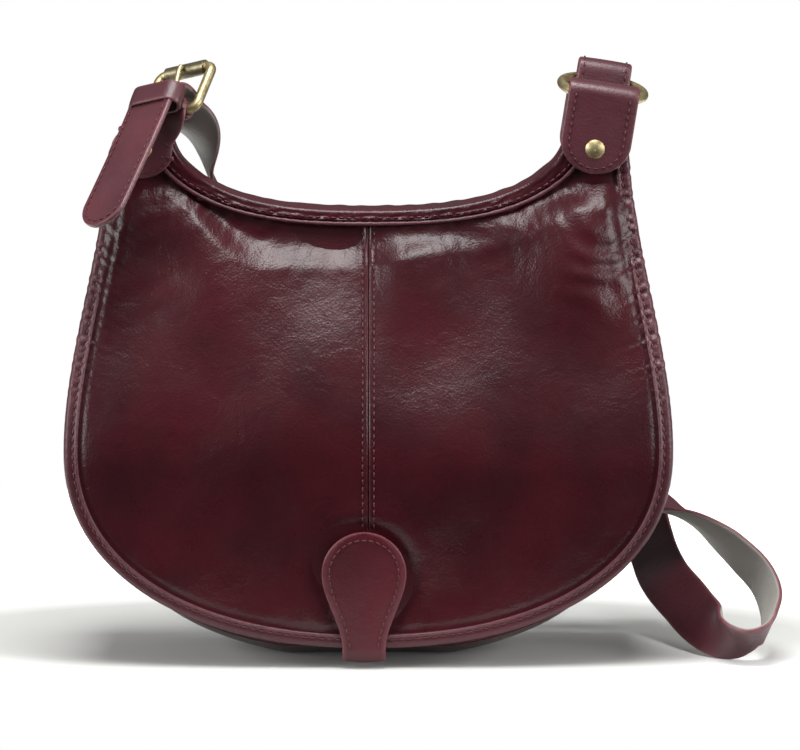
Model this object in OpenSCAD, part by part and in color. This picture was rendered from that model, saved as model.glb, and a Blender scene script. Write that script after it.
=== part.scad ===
// Saddle-shaped crossbody bag with a full front flap, two horns, a buckle and an O-ring.
// Front is -Y, up is +Z, and the origin is the middle of the flat base.

/* [Body] */
// Widest width of the flap
bag_width = 280; // [240:1:320]
// Height of the two horns
horn_height = 244; // [225:1:265]
// Height of the widest place
wide_height = 100; // [90:1:110]
// Depth of the base, front seam to back seam
base_depth = 80; // [60:1:100]
// Depth of a horn
horn_depth = 10; // [8:0.5:14]
// Depth of the dip between the horns, below their tops
dip_depth = 37.5; // [34:0.5:41]
// Distance from the flap's widest place in to the dip, level with the horns' tops
horn_width = 52; // [48:1:56]
// How far each side slopes in up to its horn
shoulder_in = 19.5; // [12:0.5:26]
// How far the body lies inside the flap's outline
body_inset = 4; // [3:0.5:6]
// Height of the front panel's mouth at its sides
mouth_height = 150; // [135:1:165]
// How much lower the mouth is in its middle
mouth_dip = 10; // [0:1:20]
// How far the base would sag below the table, which cuts it flat
base_sag = 3; // [2:0.5:5]

/* [Leather] */
// Thickness of the body leather
leather = 2; // [1.4:0.1:2.4]
// Thickness of the lining
lining = 1; // [0.6:0.1:1.2]
// Gap between layers that are sewn together
seam = 0.3; // [0.2:0.05:0.4]
// Width of the edge binding
binding_width = 5.5; // [4:0.5:7]
// Thickness of the binding
binding = 0.9; // [0.7:0.1:1.2]
// Radius of the piping
piping_radius = 1.1; // [0.8:0.1:1.4]
// How far the panels swell between their seams
swell = 7; // [3:0.5:10]

/* [Flap] */
// Height of the flap's lower edge
flap_height = 9; // [7:0.5:12]
// Distance from the bottom of the dip down to the line where the flap bends
bend_drop = 8; // [6:0.5:10]
// Gap between the flap and the fixed leather above it
bend_gap = 0.6; // [0.5:0.1:1]
// How far the flap stands off the front panel at its lower edge
standoff_low = 5.5; // [5:0.1:7]
// How far it stands off at the bend
standoff_high = 0.5; // [0.4:0.1:1]

/* [Closing tab and snap] */
// Widest width of the tab
tab_width = 39; // [34:1:44]
// Width of its neck
tab_neck = 20; // [16:1:24]
// Height of the tab's round end above the table
tab_top = 61; // [56:1:66]
// Thickness of the tab
tab_thick = 1.8; // [1.4:0.1:2]
// Gap under the tab, for the binding and the snap's washer
tab_gap = 1.2; // [1.15:0.05:1.5]
// How high the tab's tail reaches behind the flap
tab_tail = 20; // [16:1:24]
// Lowest place of the tab above the table
tab_low = 1; // [0.5:0.1:2]
// Height of the snap
snap_height = 40; // [36:1:44]
// Radius of the snap
snap_radius = 9; // [8:0.5:10]
// Thickness of the socket cup
socket_thick = 2.6; // [2.2:0.1:2.8]
// Radius of the snap's stud
stud_radius = 2.8; // [2.4:0.1:3.2]
// Play round the stud, for the flap's swing
stud_play = 0.5; // [0.4:0.05:0.7]
// Thickness of a snap washer
snap_washer = 0.6; // [0.4:0.1:0.7]

/* [Chapes and rivets] */
// Distance from the flap's widest place in to a rivet
rivet_in = 35.5; // [32:0.5:40]
// Distance of the rivets below the horns' tops
rivet_drop = 8; // [5:0.5:12]
// Width of a chape
chape_width = 30.4; // [28:0.2:32]
// Thickness of the chape leather
chape_leather = 2.2; // [1.8:0.1:2.6]
// Length of a chape below its rivet
chape_drop = 13.5; // [12:0.5:15]
// Radius of a rivet's caps
rivet_cap = 4.7; // [4:0.1:5.4]
// Height of a rivet's cap
rivet_crown = 1.6; // [1.2:0.1:2]
// Radius of a rivet's post
rivet_post = 1.5; // [1.2:0.1:1.8]
// Tilt of the right chape, its top outwards
right_tilt = 9; // [6:1:12]

/* [Ring] */
// Radius of the O-ring, to the middle of its wire
ring_radius = 19.2; // [18:0.2:20]
// Radius of its wire
ring_wire = 2.25; // [2:0.05:2.5]
// How far the ring's back is tilted up
ring_tilt = 9.5; // [8:0.5:11]

/* [Buckle] */
// Distance between the middles of the frame's side bars
frame_width = 31; // [31:0.5:33]
// Distance from the heel bar to the roller
frame_length = 27; // [26:0.5:30]
// Radius of the frame's wire
frame_wire = 2.3; // [2.1:0.05:2.4]
// Radius of the frame's corners, to the middle of the wire
frame_corner = 4; // [3.5:0.1:4.5]
// Outer radius of the roller
roller_radius = 3.4; // [3.2:0.05:3.6]
// Radius of the prong's wire
prong_wire = 1.3; // [1.1:0.05:1.4]
// Running clearance of everything that turns
running = 0.06; // [0.04:0.01:0.1]
// How far the frame leans back from the chape
frame_lean = 4; // [3:0.5:6]
// Turn of the left chape towards the side
left_turn = 35; // [33:1:37]
// Rise of its heel bar towards the dip
left_rise = 13; // [12:0.5:14]
// How far the left chape leans back
left_lean = 42; // [40:1:44]

/* [Strap] */
// Width of the shoulder strap
strap_width = 25; // [24:0.5:25]
// Thickness of the strap
strap_thick = 2.4; // [2:0.1:2.6]
// Length of the strap's tip below the keeper
tip_length = 62; // [56:1:64]
// Distance of the strap's tip in front of the heel bar
tip_out = 13; // [12.5:0.1:13.5]
// Height of the keeper
keeper_height = 11; // [9:0.5:11.5]
// Thickness of the keeper
keeper_thick = 1.4; // [1.2:0.1:1.6]
// Distance of the prong's hole in front of the heel bar
hole_shift = 1.2; // [1:0.1:1.6]
// Radius of the hole that the prong goes through
hole_radius = 2.6; // [2.4:0.1:2.8]

/* [Hidden] */
$fn = 48;

oxblood = "#4b1a25";
dark_oxblood = "#3a1a20";
cloth = "#2b2226";
antique_brass = "#9a8650";
steel = "#8c8f92";

half_width = bag_width / 2;
half_base = base_depth / 2;
half_horn = horn_depth / 2;
dip_height = horn_height - dip_depth;
dip_half_width = half_width - horn_width;
bend_height = dip_height - bend_drop;
rivet_out = half_width - rivet_in;
rivet_height = horn_height - rivet_drop;
// Exponents of the rounded outlines: 2 would be an ellipse
lobe_power = 2.2;
dip_power = 2.5;
// Place where the smooth change in depth starts, as a share of the horns' height
taper_start_share = 0.37;
// Place and length of the smooth shoulder, in shares of the same height
shoulder_length_share = 0.58;
// Share of the outline's top edge, end to end, that the dip takes
dip_share = 0.75;
// Share of the front's swell that the back has
back_swell_share = 0.6;
// Overrun of the cuts
overrun = 1;

// Small helpers

function smooth(t) = let (c = min(1, max(0, t))) c * c * (3 - 2 * c);
function signed_power(value, power) = sign(value) * pow(abs(value), power);
function mix(a, b, t) = a + (b - a) * t;
function unit(v) = v / norm(v);
function swap(p, y) = [p[0], y, p[1]];
function at_point(line, i) = line[min(len(line) - 1, max(0, i))];

// Outlines in the XZ plane. Each takes how far it lies inside the flap's outline.

function side_x(z, inset) =
    half_width - inset
    - shoulder_in * smooth((z - wide_height) / (horn_height * shoulder_length_share));

function lobe(u, inset, low) = let (
    x = (half_width - inset) * signed_power(sin(90 * u), 2 / lobe_power),
    z = wide_height - (wide_height - low) * signed_power(cos(90 * u), 2 / lobe_power)
) [x, z];

// The body's lobe sags below the table, which cuts it flat
function body_lobe(u, inset) = let (p = lobe(u, inset, inset - body_inset - base_sag))
    [p[0], max(inset - body_inset, p[1])];

function dip(t, inset) = let (top = horn_height - inset) [
    (dip_half_width + inset) * signed_power(sin(90 * t), 2 / dip_power),
    top - (horn_height - dip_height) * signed_power(cos(90 * t), 2 / dip_power)
];

// The horns' tops and the dip between them, inset from the side and from the edge above
function top_edge(u, inset, edge) = abs(u) < dip_share
    ? dip(u / dip_share, edge)
    : let (
        t = (abs(u) - dip_share) / (1 - dip_share),
        inner = dip_half_width + edge,
        outer = side_x(horn_height - edge, inset)
    ) [sign(u) * mix(inner, outer, t), horn_height - edge];

// A patch between a lower and an upper edge, whose sides follow the bag's
function patch(u, v, low, high, z_low, z_high, inset) = let (
    s = (u + 1) / 2,
    z = mix(z_low, z_high, v),
    side = side_x(z, inset),
    corners = mix(mix(low[0], low[1], s), mix(high[0], high[1], s), v)
) mix(low[2], high[2], v) + [mix(-side, side, s), z] - corners;

// Half the outline's width at a height, for the swell
function edge_x(z) = z >= wide_height ? side_x(z, 0)
    : half_width * pow(
        1 - pow(min(1, (wide_height - z) / (wide_height - flap_height)), lobe_power),
        1 / lobe_power
    );

// Depths, measured from the middle plane

// The horns are flat from just below their chapes
horn_flat = rivet_height - chape_drop - seam;
taper_start = horn_height * taper_start_share;
function half_depth(z) = mix(half_base, half_horn, smooth((z - taper_start) / (horn_flat - taper_start)));

function lift(z) = smooth((z - flap_height) / (wide_height - flap_height))
    * (1 - smooth((z - wide_height) / (bend_height - wide_height)));

function swell_at(p) = let (w = edge_x(p[1]))
    w <= 0 ? 0 : swell * lift(p[1]) * max(0, 1 - pow(p[0] / w, 2));

function standoff(z) = mix(
    standoff_low, standoff_high,
    min(1, max(0, (z - flap_height) / (bend_height - flap_height)))
);

function panel_y(p) = half_depth(p[1]) + seam + swell_at(p);
function back_y(p) = half_depth(p[1]) + seam + swell_at(p) * back_swell_share;
function flap_lining_y(p) = panel_y(p) + leather + seam + standoff(p[1]);
function flap_y(p) = flap_lining_y(p) + lining + seam;
// The fixed leather leaves the flap's level at the bend and lies on the gusset at the horns
head_rise = leather + lining + 2 * seam + standoff_high;
function head_y(p) = half_depth(p[1]) + seam
    + head_rise * (1 - smooth((p[1] - bend_height) / (horn_flat - bend_height)));

// Solids from rings

function volume_sum(points, faces) = [for (f = faces) 1] * [
    for (f = faces) points[f[0]] * cross(points[f[1]], points[f[2]])
];

// A solid through rings of as many points each. Each ring runs out along one side and
// back along the other, so its ends close as strips. Facets are mirrored at the split.
module loft(rings, split = undef) {
    n = len(rings);
    m = len(rings[0]);
    points = [for (ring = rings, p = ring) p];
    middle = is_undef(split) ? (n - 1) / 2 : split;
    // The way back has its diagonals turned, so that both sides of a sheet bend alike
    walls = [
        for (i = [0 : n - 2], j = [0 : m - 1]) let (
            a = i * m + j,
            b = i * m + (j + 1) % m
        ) each (j < m / 2) != (i < middle)
            ? [[a, b, a + m], [b, b + m, a + m]]
            : [[a, b, b + m], [a, b + m, a + m]]
    ];
    caps = [
        for (j = [0 : m / 2 - 2]) let (a = j, b = j + 1, c = m - 2 - j, d = m - 1 - j)
            each [[a, c, b], [a, d, c]],
        for (j = [0 : m / 2 - 2]) let (k = (n - 1) * m, a = j, b = j + 1, c = m - 2 - j, d = m - 1 - j)
            each [[k + a, k + b, k + c], [k + a, k + c, k + d]]
    ];
    faces = [
        for (f = concat(walls, caps))
            if (points[f[0]] != points[f[1]] && points[f[1]] != points[f[2]] && points[f[2]] != points[f[0]]) f
    ];
    outwards = volume_sum(points, faces) < 0;
    polyhedron(points, [for (f = faces) outwards ? f : [f[2], f[1], f[0]]]);
}

// A sheet of leather or lining over a grid of XZ points, on the side that facing says
module sheet(columns, depth, thick, facing, split = undef) {
    loft([
        for (column = columns) concat(
            [for (p = column) swap(p, facing * (depth(p) + thick))],
            [for (i = [len(column) - 1 : -1 : 0]) swap(column[i], facing * depth(column[i]))]
        )
    ], split);
}

// The outward normals of an outline in the XZ plane, level where the ends say
function outline_normal(line, i, level_ends) = let (
    last = len(line) - 1,
    run = at_point(line, i + 1) - at_point(line, i - 1),
    n = unit([run[1], -run[0]])
) level_ends && (i == 0 || i == last) ? [sign(n[0]), 0] : n;

// A section of [out, depth] points carried along an outline. It depends on the place there
// and on the outward direction, so that its lips can follow the leather's own depth.
module carry(line, section, level_ends) {
    loft([
        for (i = [0 : len(line) - 1]) let (n = outline_normal(line, i, level_ends))
            [for (s = section(line[i], n)) swap(line[i] + n * s[0], s[1])]
    ]);
}

// A channel that wraps an edge: along the front from its lip, round the edge, along the
// back to its lip, and in again. Depths of both faces are given at the lips and the edge.
function channel(lips, front_depths, back_depths, wall, gap) = [
    [-lips[0], front_depths[0] - wall], [wall + gap, front_depths[1] - wall],
    [wall + gap, back_depths[1] + wall], [-lips[1], back_depths[0] + wall],
    [-lips[1], back_depths[0]], [gap, back_depths[1]],
    [gap, front_depths[1]], [-lips[0], front_depths[0]]
];

// The bag's own grids of points

function flap_columns(inset, u_from, u_to, across, up) = [
    for (i = [0 : across]) let (u = mix(u_from, u_to, i / across)) [
        for (j = [0 : up]) let (
            v = j / up,
            top = bend_height,
            side = side_x(top, inset),
            low = [for (k = [-1, 1]) [k * (half_width - inset), wide_height]],
            high = [for (k = [-1, 1]) [k * side, top]]
        ) patch(
            u, v,
            [low[0], low[1], lobe(u, inset, flap_height + inset)],
            [high[0], high[1], [mix(-side, side, (sin(90 * u) + 1) / 2), top]],
            wide_height, top, inset
        )
    ]
];

function head_columns(inset, edge, across, up) = let (
    low_z = bend_height + bend_gap,
    side = side_x(low_z, inset)
) [
    for (i = [0 : across]) let (u = mix(-1, 1, i / across)) [
        for (j = [0 : up]) let (v = j / up) patch(
            u, v,
            [[-side, low_z], [side, low_z], [mix(-side, side, (u + 1) / 2), low_z]],
            [top_edge(-1, inset, edge), top_edge(1, inset, edge), top_edge(u, inset, edge)],
            low_z, horn_height - edge, inset
        )
    ]
];

function body_columns(inset, across, up, top_z, high) = let (side = side_x(top_z, inset)) [
    for (i = [0 : across]) let (u = mix(-1, 1, i / across)) [
        for (j = [0 : up]) let (v = j / up) patch(
            u, v,
            [[-half_width + inset, wide_height], [half_width - inset, wide_height], body_lobe(u, inset)],
            [[-side, top_z], [side, top_z], high(u)],
            wide_height, top_z, inset
        )
    ]
];

function mouth_edge(inset) = function (u) let (
    side = side_x(mouth_height, inset),
    s = sin(90 * u)
) [side * s, mouth_height - mouth_dip * (1 - s * s)];

// The outline from the height at one side, round the lobe, to the same height at the other
function round_line(inset, top_z, low, sides, turns) = concat(
    [for (i = [0 : sides - 1]) let (z = mix(top_z, wide_height, i / sides)) [-side_x(z, inset), z]],
    [for (i = [0 : turns]) low(mix(-1, 1, i / turns))],
    [for (i = [1 : sides]) let (z = mix(wide_height, top_z, i / sides)) [side_x(z, inset), z]]
);

// Body

rivet_y = half_horn + seam + leather;

module rivet_bores() {
    for (side = [-1, 1])
        translate([side * rivet_out, 0, rivet_height])
            rotate([90, 0, 0])
                cylinder(r = rivet_post + running, h = base_depth, center = true);
}

module back_panel() {
    color(oxblood)
        difference() {
            sheet(
                body_columns(body_inset, 40, 10, horn_height, function (u) top_edge(u, body_inset, 0)),
                function (p) back_y(p), leather, 1
            );
            rivet_bores();
        }
}

module gusset() {
    color(oxblood) {
        line = round_line(body_inset, horn_height, function (u) body_lobe(u, body_inset), 10, 36);
        loft([
            for (i = [0 : len(line) - 1]) let (
                n = outline_normal(line, i, true),
                flat = abs(line[i][0]) < half_width && line[i][1] <= 0,
                outer = line[i],
                inner = flat ? outer + [0, leather] : outer - n * leather,
                y_out = half_depth(outer[1]) - seam,
                y_in = half_depth(inner[1]) - seam
            ) [swap(outer, -y_out), swap(outer, y_out), swap(inner, min(y_in, y_out)), swap(inner, -min(y_in, y_out))]
        ]);
    }
}

module front_panel() {
    color(oxblood)
        sheet(
            body_columns(body_inset, 24, 6, mouth_height, mouth_edge(body_inset)),
            function (p) panel_y(p), leather, -1
        );
}

module flap_head() {
    color(oxblood)
        difference() {
            sheet(head_columns(binding + seam, 0, 40, 5), function (p) head_y(p), leather, -1);
            rivet_bores();
        }
}

// The top strip's front lip is narrow over the dip and wider at the horns
lip_middle = 3.5;
lip_horn = 8;
lip_back = 4;
strip = 1.2;
function front_lip(z) = mix(lip_middle, lip_horn, (z - dip_height) / (horn_height - dip_height));
strip_end_share = 0.96;
// The piping is thicker than the room under a chape, and stops beside it
piping_end_share = 0.76;
function dip_line(count, end_share) = [for (i = [0 : count]) dip(mix(-end_share, end_share, i / count), 0)];
// The dip's line runs so that its normals point down into the leather
function strip_section(p, n) = let (
    lip = front_lip(p[1]),
    front = [for (out = [lip, 0]) -(head_y(p + n * out) + leather + 2 * seam)],
    back = [for (out = [lip_back, 0]) back_y(p + n * out) + leather + 2 * seam]
) [
    [lip, front[0] - strip], [-strip - seam, front[1] - strip],
    [-strip - seam, back[1] + strip], [lip_back, back[0] + strip],
    [lip_back, back[0]], [-seam, back[1]], [-seam, front[1]], [lip, front[0]]
];

module top_strip() {
    color(oxblood) carry(dip_line(40, strip_end_share), function (p, n) strip_section(p, n), false);
}

module front_piping() {
    color(dark_oxblood)
        carry(
            dip_line(36, piping_end_share),
            function (p, n) let (
                out = front_lip(p[1]) + seam + piping_radius,
                y = -(head_y(p + n * (out + piping_radius)) + leather + 2 * seam + piping_radius)
            ) [for (k = [0 : 5]) [out + piping_radius * cos(30 + 60 * k), y + piping_radius * sin(30 + 60 * k)]],
            false
        );
}

module back_binding() {
    color(dark_oxblood)
        carry(
            round_line(body_inset, horn_height, function (u) body_lobe(u, body_inset), 10, 40),
            function (p, n) let (
                inner = back_y(p - n * binding_width) + leather + seam,
                outer = back_y(p) + leather + seam
            ) [[-binding_width, inner], [-binding_width, inner + binding], [0, outer + binding], [0, outer]],
            true
        );
}

module horn_binding() {
    color(dark_oxblood)
        for (side = [-1, 1]) {
            low = bend_height + bend_gap;
            carry(
                [
                    for (i = [0 : 5]) let (z = side < 0 ? mix(horn_height, low, i / 5) : mix(low, horn_height, i / 5))
                        [side * side_x(z, binding + seam), z]
                ],
                function (p, n) let (fit = seam * 2 / 3, lips = [binding_width, 0]) channel(
                    lips,
                    [for (out = [lips[0], 0]) -(head_y(p - n * out) + leather + fit)],
                    [for (out = [0, 0]) -(head_y(p) - fit)],
                    binding, fit
                ),
                true
            );
        }
}

lining_back_inset = body_inset + leather + seam;

module lining_front() {
    color(cloth)
        sheet(
            body_columns(lining_back_inset + seam, 20, 5, mouth_height, mouth_edge(lining_back_inset + seam)),
            function (p) panel_y(p) - snap_washer - 3 * seam - lining, lining, -1
        );
}

module lining_back() {
    color(cloth)
        difference() {
            sheet(
                body_columns(
                    lining_back_inset + 2 * seam, 28, 10, horn_height - 2 * leather,
                    function (u) top_edge(u, lining_back_inset + 2 * seam, 2 * leather)
                ),
                function (p) back_y(p) - 4 * seam - lining, lining, 1
            );
            rivet_bores();
        }
}

module lining_side() {
    color(cloth) {
        inset = lining_back_inset;
        line = round_line(inset, rivet_height - rivet_cap, function (u) body_lobe(u, inset), 8, 28);
        loft([
            for (i = [0 : len(line) - 1]) let (
                n = outline_normal(line, i, true),
                inner = line[i][1] <= leather + seam ? line[i] + [0, lining] : line[i] - n * lining,
                y = half_depth(line[i][1]) - snap_washer - 4 * seam - lining
            ) [swap(line[i], -y), swap(line[i], y), swap(inner, y), swap(inner, -y)]
        ]);
    }
}

// Chapes and rivets

// A chape lies over the strip and the binding on the horn
chape_in = rivet_y + strip + 3 * seam;
chape_out = chape_in + chape_leather;
rivet_gap = running;

module chape_outline(top) {
    width = chape_width;
    radius = chape_width / 2;
    corner = chape_drop;
    translate([0, radius - corner])
        intersection() {
            circle(r = radius);
            translate([-radius, -radius]) square([width, radius]);
        }
    translate([-width / 2, radius - corner]) square([width, top + corner - radius]);
}

// Height of the right chape's fold above the rivet, and the radius of its shoulders
fold_rise = 30;
fold_corner = 5;

module fold_profile(half, top, corner) {
    translate([-half, -base_depth]) square([2 * half, base_depth + top - corner]);
    translate([-half + corner, -base_depth]) square([2 * (half - corner), base_depth + top]);
    for (side = [-1, 1]) translate([side * (half - corner), top - corner]) circle(r = corner);
}

module right_frame() {
    translate([rivet_out, 0, rivet_height]) rotate([0, right_tilt, 0]) children();
}

module chape_right() {
    color(oxblood)
        right_frame()
            difference() {
                intersection() {
                    rotate([90, 0, 90])
                        linear_extrude(chape_width, center = true)
                            difference() {
                                fold_profile(chape_out, fold_rise, fold_corner);
                                fold_profile(chape_in, fold_rise - chape_leather, fold_corner - chape_leather);
                            }
                    rotate([90, 0, 0])
                        linear_extrude(base_depth, center = true)
                            chape_outline(fold_rise + overrun);
                }
                rotate([90, 0, 0]) cylinder(r = rivet_post + running, h = base_depth, center = true);
            }
}

// Where the parts of a rivet meet, along its post
module rivet_cap_solid() {
    translate([0, -chape_out - rivet_gap, 0])
        rotate([90, 0, 0])
            rotate_extrude()
                intersection() {
                    translate([0, rivet_crown - (rivet_cap * rivet_cap + rivet_crown * rivet_crown) / (2 * rivet_crown)])
                        circle(r = (rivet_cap * rivet_cap + rivet_crown * rivet_crown) / (2 * rivet_crown));
                    square([rivet_cap, rivet_crown]);
                }
}

module rivet_placed(side) {
    translate([side * rivet_out, 0, rivet_height]) rotate([0, side > 0 ? right_tilt : 0, 0]) children();
}

module rivet_caps() {
    color(antique_brass)
        for (side = [-1, 1])
            rivet_placed(side) {
                rivet_cap_solid();
                translate([0, chape_out, 0])
                    rotate([90, 0, 0])
                        cylinder(r = rivet_post, h = 2 * chape_out + 2 * rivet_gap);
            }
}

module rivet_posts() {
    color(antique_brass)
        for (side = [-1, 1])
            rivet_placed(side)
                difference() {
                    mirror([0, 1, 0]) rivet_cap_solid();
                    rotate([90, 0, 0]) cylinder(r = rivet_post + running, h = 2 * (chape_out + rivet_crown / 3), center = true);
                }
}

// Left chape. Its heel bar lies turned, risen and leaned back above the horn.
heel_in = 12.5;
heel_front = 6;
heel_rise = 16;
heel = [-rivet_out + heel_in, -heel_front, rivet_height + heel_rise];
function turn_z(p, a) = [p[0] * cos(a) - p[1] * sin(a), p[0] * sin(a) + p[1] * cos(a), p[2]];
function turn_y(p, a) = [p[0] * cos(a) + p[2] * sin(a), p[1], -p[0] * sin(a) + p[2] * cos(a)];
function turn_x(p, a) = [p[0], p[1] * cos(a) - p[2] * sin(a), p[1] * sin(a) + p[2] * cos(a)];
function left_turned(p) = turn_z(turn_y(turn_x(p, -left_lean), -left_rise), -left_turn);
function left_place(p) = heel + left_turned(p);

module left_frame() {
    translate(heel) rotate([0, 0, -left_turn]) rotate([0, -left_rise, 0]) rotate([-left_lean, 0, 0]) children();
}

eye_in = frame_wire + running;
eye_out = eye_in + chape_leather - seam;
lug_out = frame_width / 2 - frame_corner - seam;
lug_in = prong_wire + 3 * seam + running;
plate_top = horn_height + seam + leather / 2 - rivet_height;

module left_plate(facing) {
    translate([-rivet_out, facing * (chape_in + chape_leather / 2), rivet_height])
        rotate([90, 0, 0])
            linear_extrude(chape_leather, center = true)
                chape_outline(plate_top);
}

// The front ply narrows to the lugs round the heel bar. The back ply joins it by a bridge
// over the horn, beside the frame's swing.
neck_width = 2 * lug_out - leather * 3;
bridge_width = 11;

module neck_root() {
    translate([
        -rivet_out + chape_width / 2 - neck_width / 2,
        -chape_in - chape_leather / 2,
        rivet_height + plate_top - seam
    ])
        cube([neck_width, chape_leather, 2 * seam], center = true);
}

module neck_end() {
    left_frame()
        translate([0, 0, -eye_in - leather / 2])
            cube([2 * lug_out - leather, 2 * eye_in, leather / 2], center = true);
}

module bridge() {
    translate([
        -rivet_out - chape_width / 2,
        -chape_in - chape_leather,
        horn_height + seam
    ])
        cube([bridge_width, 2 * (chape_in + chape_leather), chape_leather]);
}

// The room that the strap takes behind the heel bar
module strap_room() {
    left_frame()
        translate([-chape_width, heel_front, eye_out])
            cube([2 * chape_width, base_depth, base_depth]);
}

module chape_left() {
    color(oxblood)
        difference() {
            union() {
                left_plate(-1);
                difference() {
                    left_plate(1);
                    strap_room();
                }
                bridge();
                hull() {
                    neck_root();
                    neck_end();
                }
                left_frame() rotate([0, 90, 0]) cylinder(r = eye_out, h = 2 * lug_out, center = true);
            }
            left_frame() {
                rotate([0, 90, 0]) cylinder(r = eye_in, h = base_depth, center = true);
                translate([0, 0, frame_length / 2 - eye_out - leather])
                    cube([2 * lug_in, 4 * eye_out, frame_length], center = true);
            }
            rivet_bores();
        }
}

keeper_gap = 0.4;
keeper_low = -5;
keeper_back = eye_out + seam;
keeper_front = tip_out + strap_thick / 2 + keeper_gap;

module keeper() {
    color(oxblood)
        left_frame() {
            half = strap_width / 2 + keeper_gap;
            translate([0, 0, keeper_low])
                linear_extrude(keeper_height)
                    difference() {
                        translate([-half - keeper_thick, -keeper_front - keeper_thick])
                            square([2 * (half + keeper_thick), keeper_front - keeper_back + keeper_thick]);
                        translate([-half, -keeper_front])
                            square([2 * half, keeper_front - keeper_back - keeper_thick]);
                    }
        }
}

// Buckle

module frame_frame() {
    left_frame() rotate([-frame_lean, 0, 0]) children();
}

module bar_x(length, z) {
    translate([0, 0, z]) rotate([0, 90, 0]) cylinder(r = frame_wire, h = length, center = true);
}

module buckle_frame() {
    color(antique_brass)
        frame_frame() {
            half = frame_width / 2;
            for (z = [0, frame_length]) bar_x(frame_width - 2 * frame_corner, z);
            for (side = [-1, 1])
                translate([side * half, 0, frame_corner])
                    cylinder(r = frame_wire, h = frame_length - 2 * frame_corner);
            for (x = [0, 1], z = [0, 1])
                mirror([x, 0, 0])
                    translate([half - frame_corner, 0, z > 0 ? frame_length - frame_corner : frame_corner])
                        mirror([0, 0, z])
                            rotate([90, 0, 0])
                                rotate_extrude(angle = -90)
                                    translate([frame_corner, 0]) circle(r = frame_wire);
        }
}

roller_length = frame_width - 2 * frame_corner - 2 * seam;

module buckle_roller() {
    color(antique_brass)
        frame_frame()
            translate([0, 0, frame_length])
                rotate([0, 90, 0])
                    difference() {
                        cylinder(r = roller_radius, h = roller_length, center = true);
                        cylinder(r = frame_wire + running, h = frame_width, center = true);
                    }
}

prong_eye = frame_wire + running + prong_wire * 1.2;
prong_rest = roller_radius + prong_wire + 2 * seam;
prong_root = frame_wire + running + prong_wire / 2;
prong_eye_half = prong_wire + seam / 2;
prong_end = frame_length + roller_radius;

module buckle_prong() {
    color(antique_brass)
        frame_frame() {
            difference() {
                rotate([0, 90, 0]) cylinder(r = prong_eye, h = 2 * prong_eye_half, center = true);
                rotate([0, 90, 0]) cylinder(r = frame_wire + running, h = frame_width, center = true);
            }
            rise = prong_end - prong_root;
            shift = prong_rest * rise / (frame_length - prong_root);
            length = norm([rise, shift]);
            translate([0, 0, prong_root])
                rotate([atan(shift / rise), 0, 0])
                    rotate_extrude() {
                        square([prong_wire, length]);
                        translate([0, length])
                            intersection() {
                                circle(r = prong_wire);
                                square([prong_wire, prong_wire]);
                            }
                    }
        }
}

// Ring

// The ring's front rests in the right chape's fold and its back is tilted up
ring_drop = ring_wire + 2 * seam + ring_radius * sin(ring_tilt) / 2;
ring_front = chape_in - ring_wire - seam;
ring_middle_y = ring_radius - ring_front;
ring_front_z = fold_rise - chape_leather - ring_drop;
ring_middle_z = ring_front_z + ring_radius * sin(ring_tilt);

module strap_ring() {
    color(antique_brass)
        right_frame()
            translate([0, ring_middle_y, ring_middle_z])
                rotate([ring_tilt, 0, 0])
                    rotate_extrude($fn = 96)
                        translate([ring_radius, 0]) circle(r = ring_wire);
}

// Shoulder strap: a flat band carried along a smooth route, with its width turning as it goes

// Places on the route in shares of the bag's half width, half depth and horn height,
// with the direction across the band, from its near edge to its far edge.
route_shares = [
    [[0.86, 1.45, 0.80], [-1, 0.1, 0]],
    [[0.91, 1.70, 0.58], [-0.97, 0.2, -0.1]],
    [[0.955, 1.95, 0.38], [-0.9, 0.35, -0.25]],
    [[0.965, 1.90, 0.235], [-0.8, 0.45, -0.35]],
    [[0.965, 1.45, 0.145], [-0.71, 0.52, -0.42]],
    [[0.99, 1.00, 0.105], [-0.71, 0.52, -0.45]],
    [[1.03, 0.55, 0.088], [-0.68, 0.56, -0.45]],
    [[1.08, 0.05, 0.074], [-0.58, 0.66, -0.45]],
    [[1.135, -0.40, 0.061], [-0.45, 0.75, -0.45]],
    [[1.20, -0.75, 0.052], [-0.22, 0.82, -0.5]],
    [[1.265, -0.85, 0.055], [-0.12, 0.92, -0.35]],
    [[1.305, -0.78, 0.065], [-0.2, 0.95, -0.25]],
    [[1.318, -0.58, 0.093], [-0.4, 0.88, -0.27]],
    [[1.31, -0.30, 0.122], [-0.5, 0.84, -0.2]],
    [[1.28, 0.00, 0.15], [-0.51, 0.84, -0.16]],
    [[1.22, 0.33, 0.182], [-0.43, 0.89, -0.14]],
    [[1.155, 0.65, 0.208], [-0.32, 0.94, -0.11]],
    [[1.08, 0.98, 0.228], [-0.18, 0.97, -0.1]],
    [[1.00, 1.30, 0.243], [-0.02, 0.99, 0.12]],
    [[0.90, 1.50, 0.256], [0.08, 0.8, 0.6]],
    [[0.72, 1.55, 0.275], [0.15, 0.45, 0.88]],
    [[0.42, 1.55, 0.325], [0.25, 0.2, 0.95]],
    [[0.08, 1.50, 0.43], [0.4, 0.15, 0.9]],
    [[-0.20, 1.38, 0.575], [0.45, 0.25, 0.85]],
    [[-0.40, 1.12, 0.73], [0.3, 0.6, 0.7]],
    [[-0.49, 0.83, 0.855], [-0.1, 0.93, 0.35]],
    [[-0.55, 0.52, 0.94], [-0.45, 0.87, 0.1]]
];

route_middle = [
    for (r = route_shares)
        [[r[0][0] * half_width, r[0][1] * half_base, r[0][2] * horn_height], unit(r[1])]
];

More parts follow.
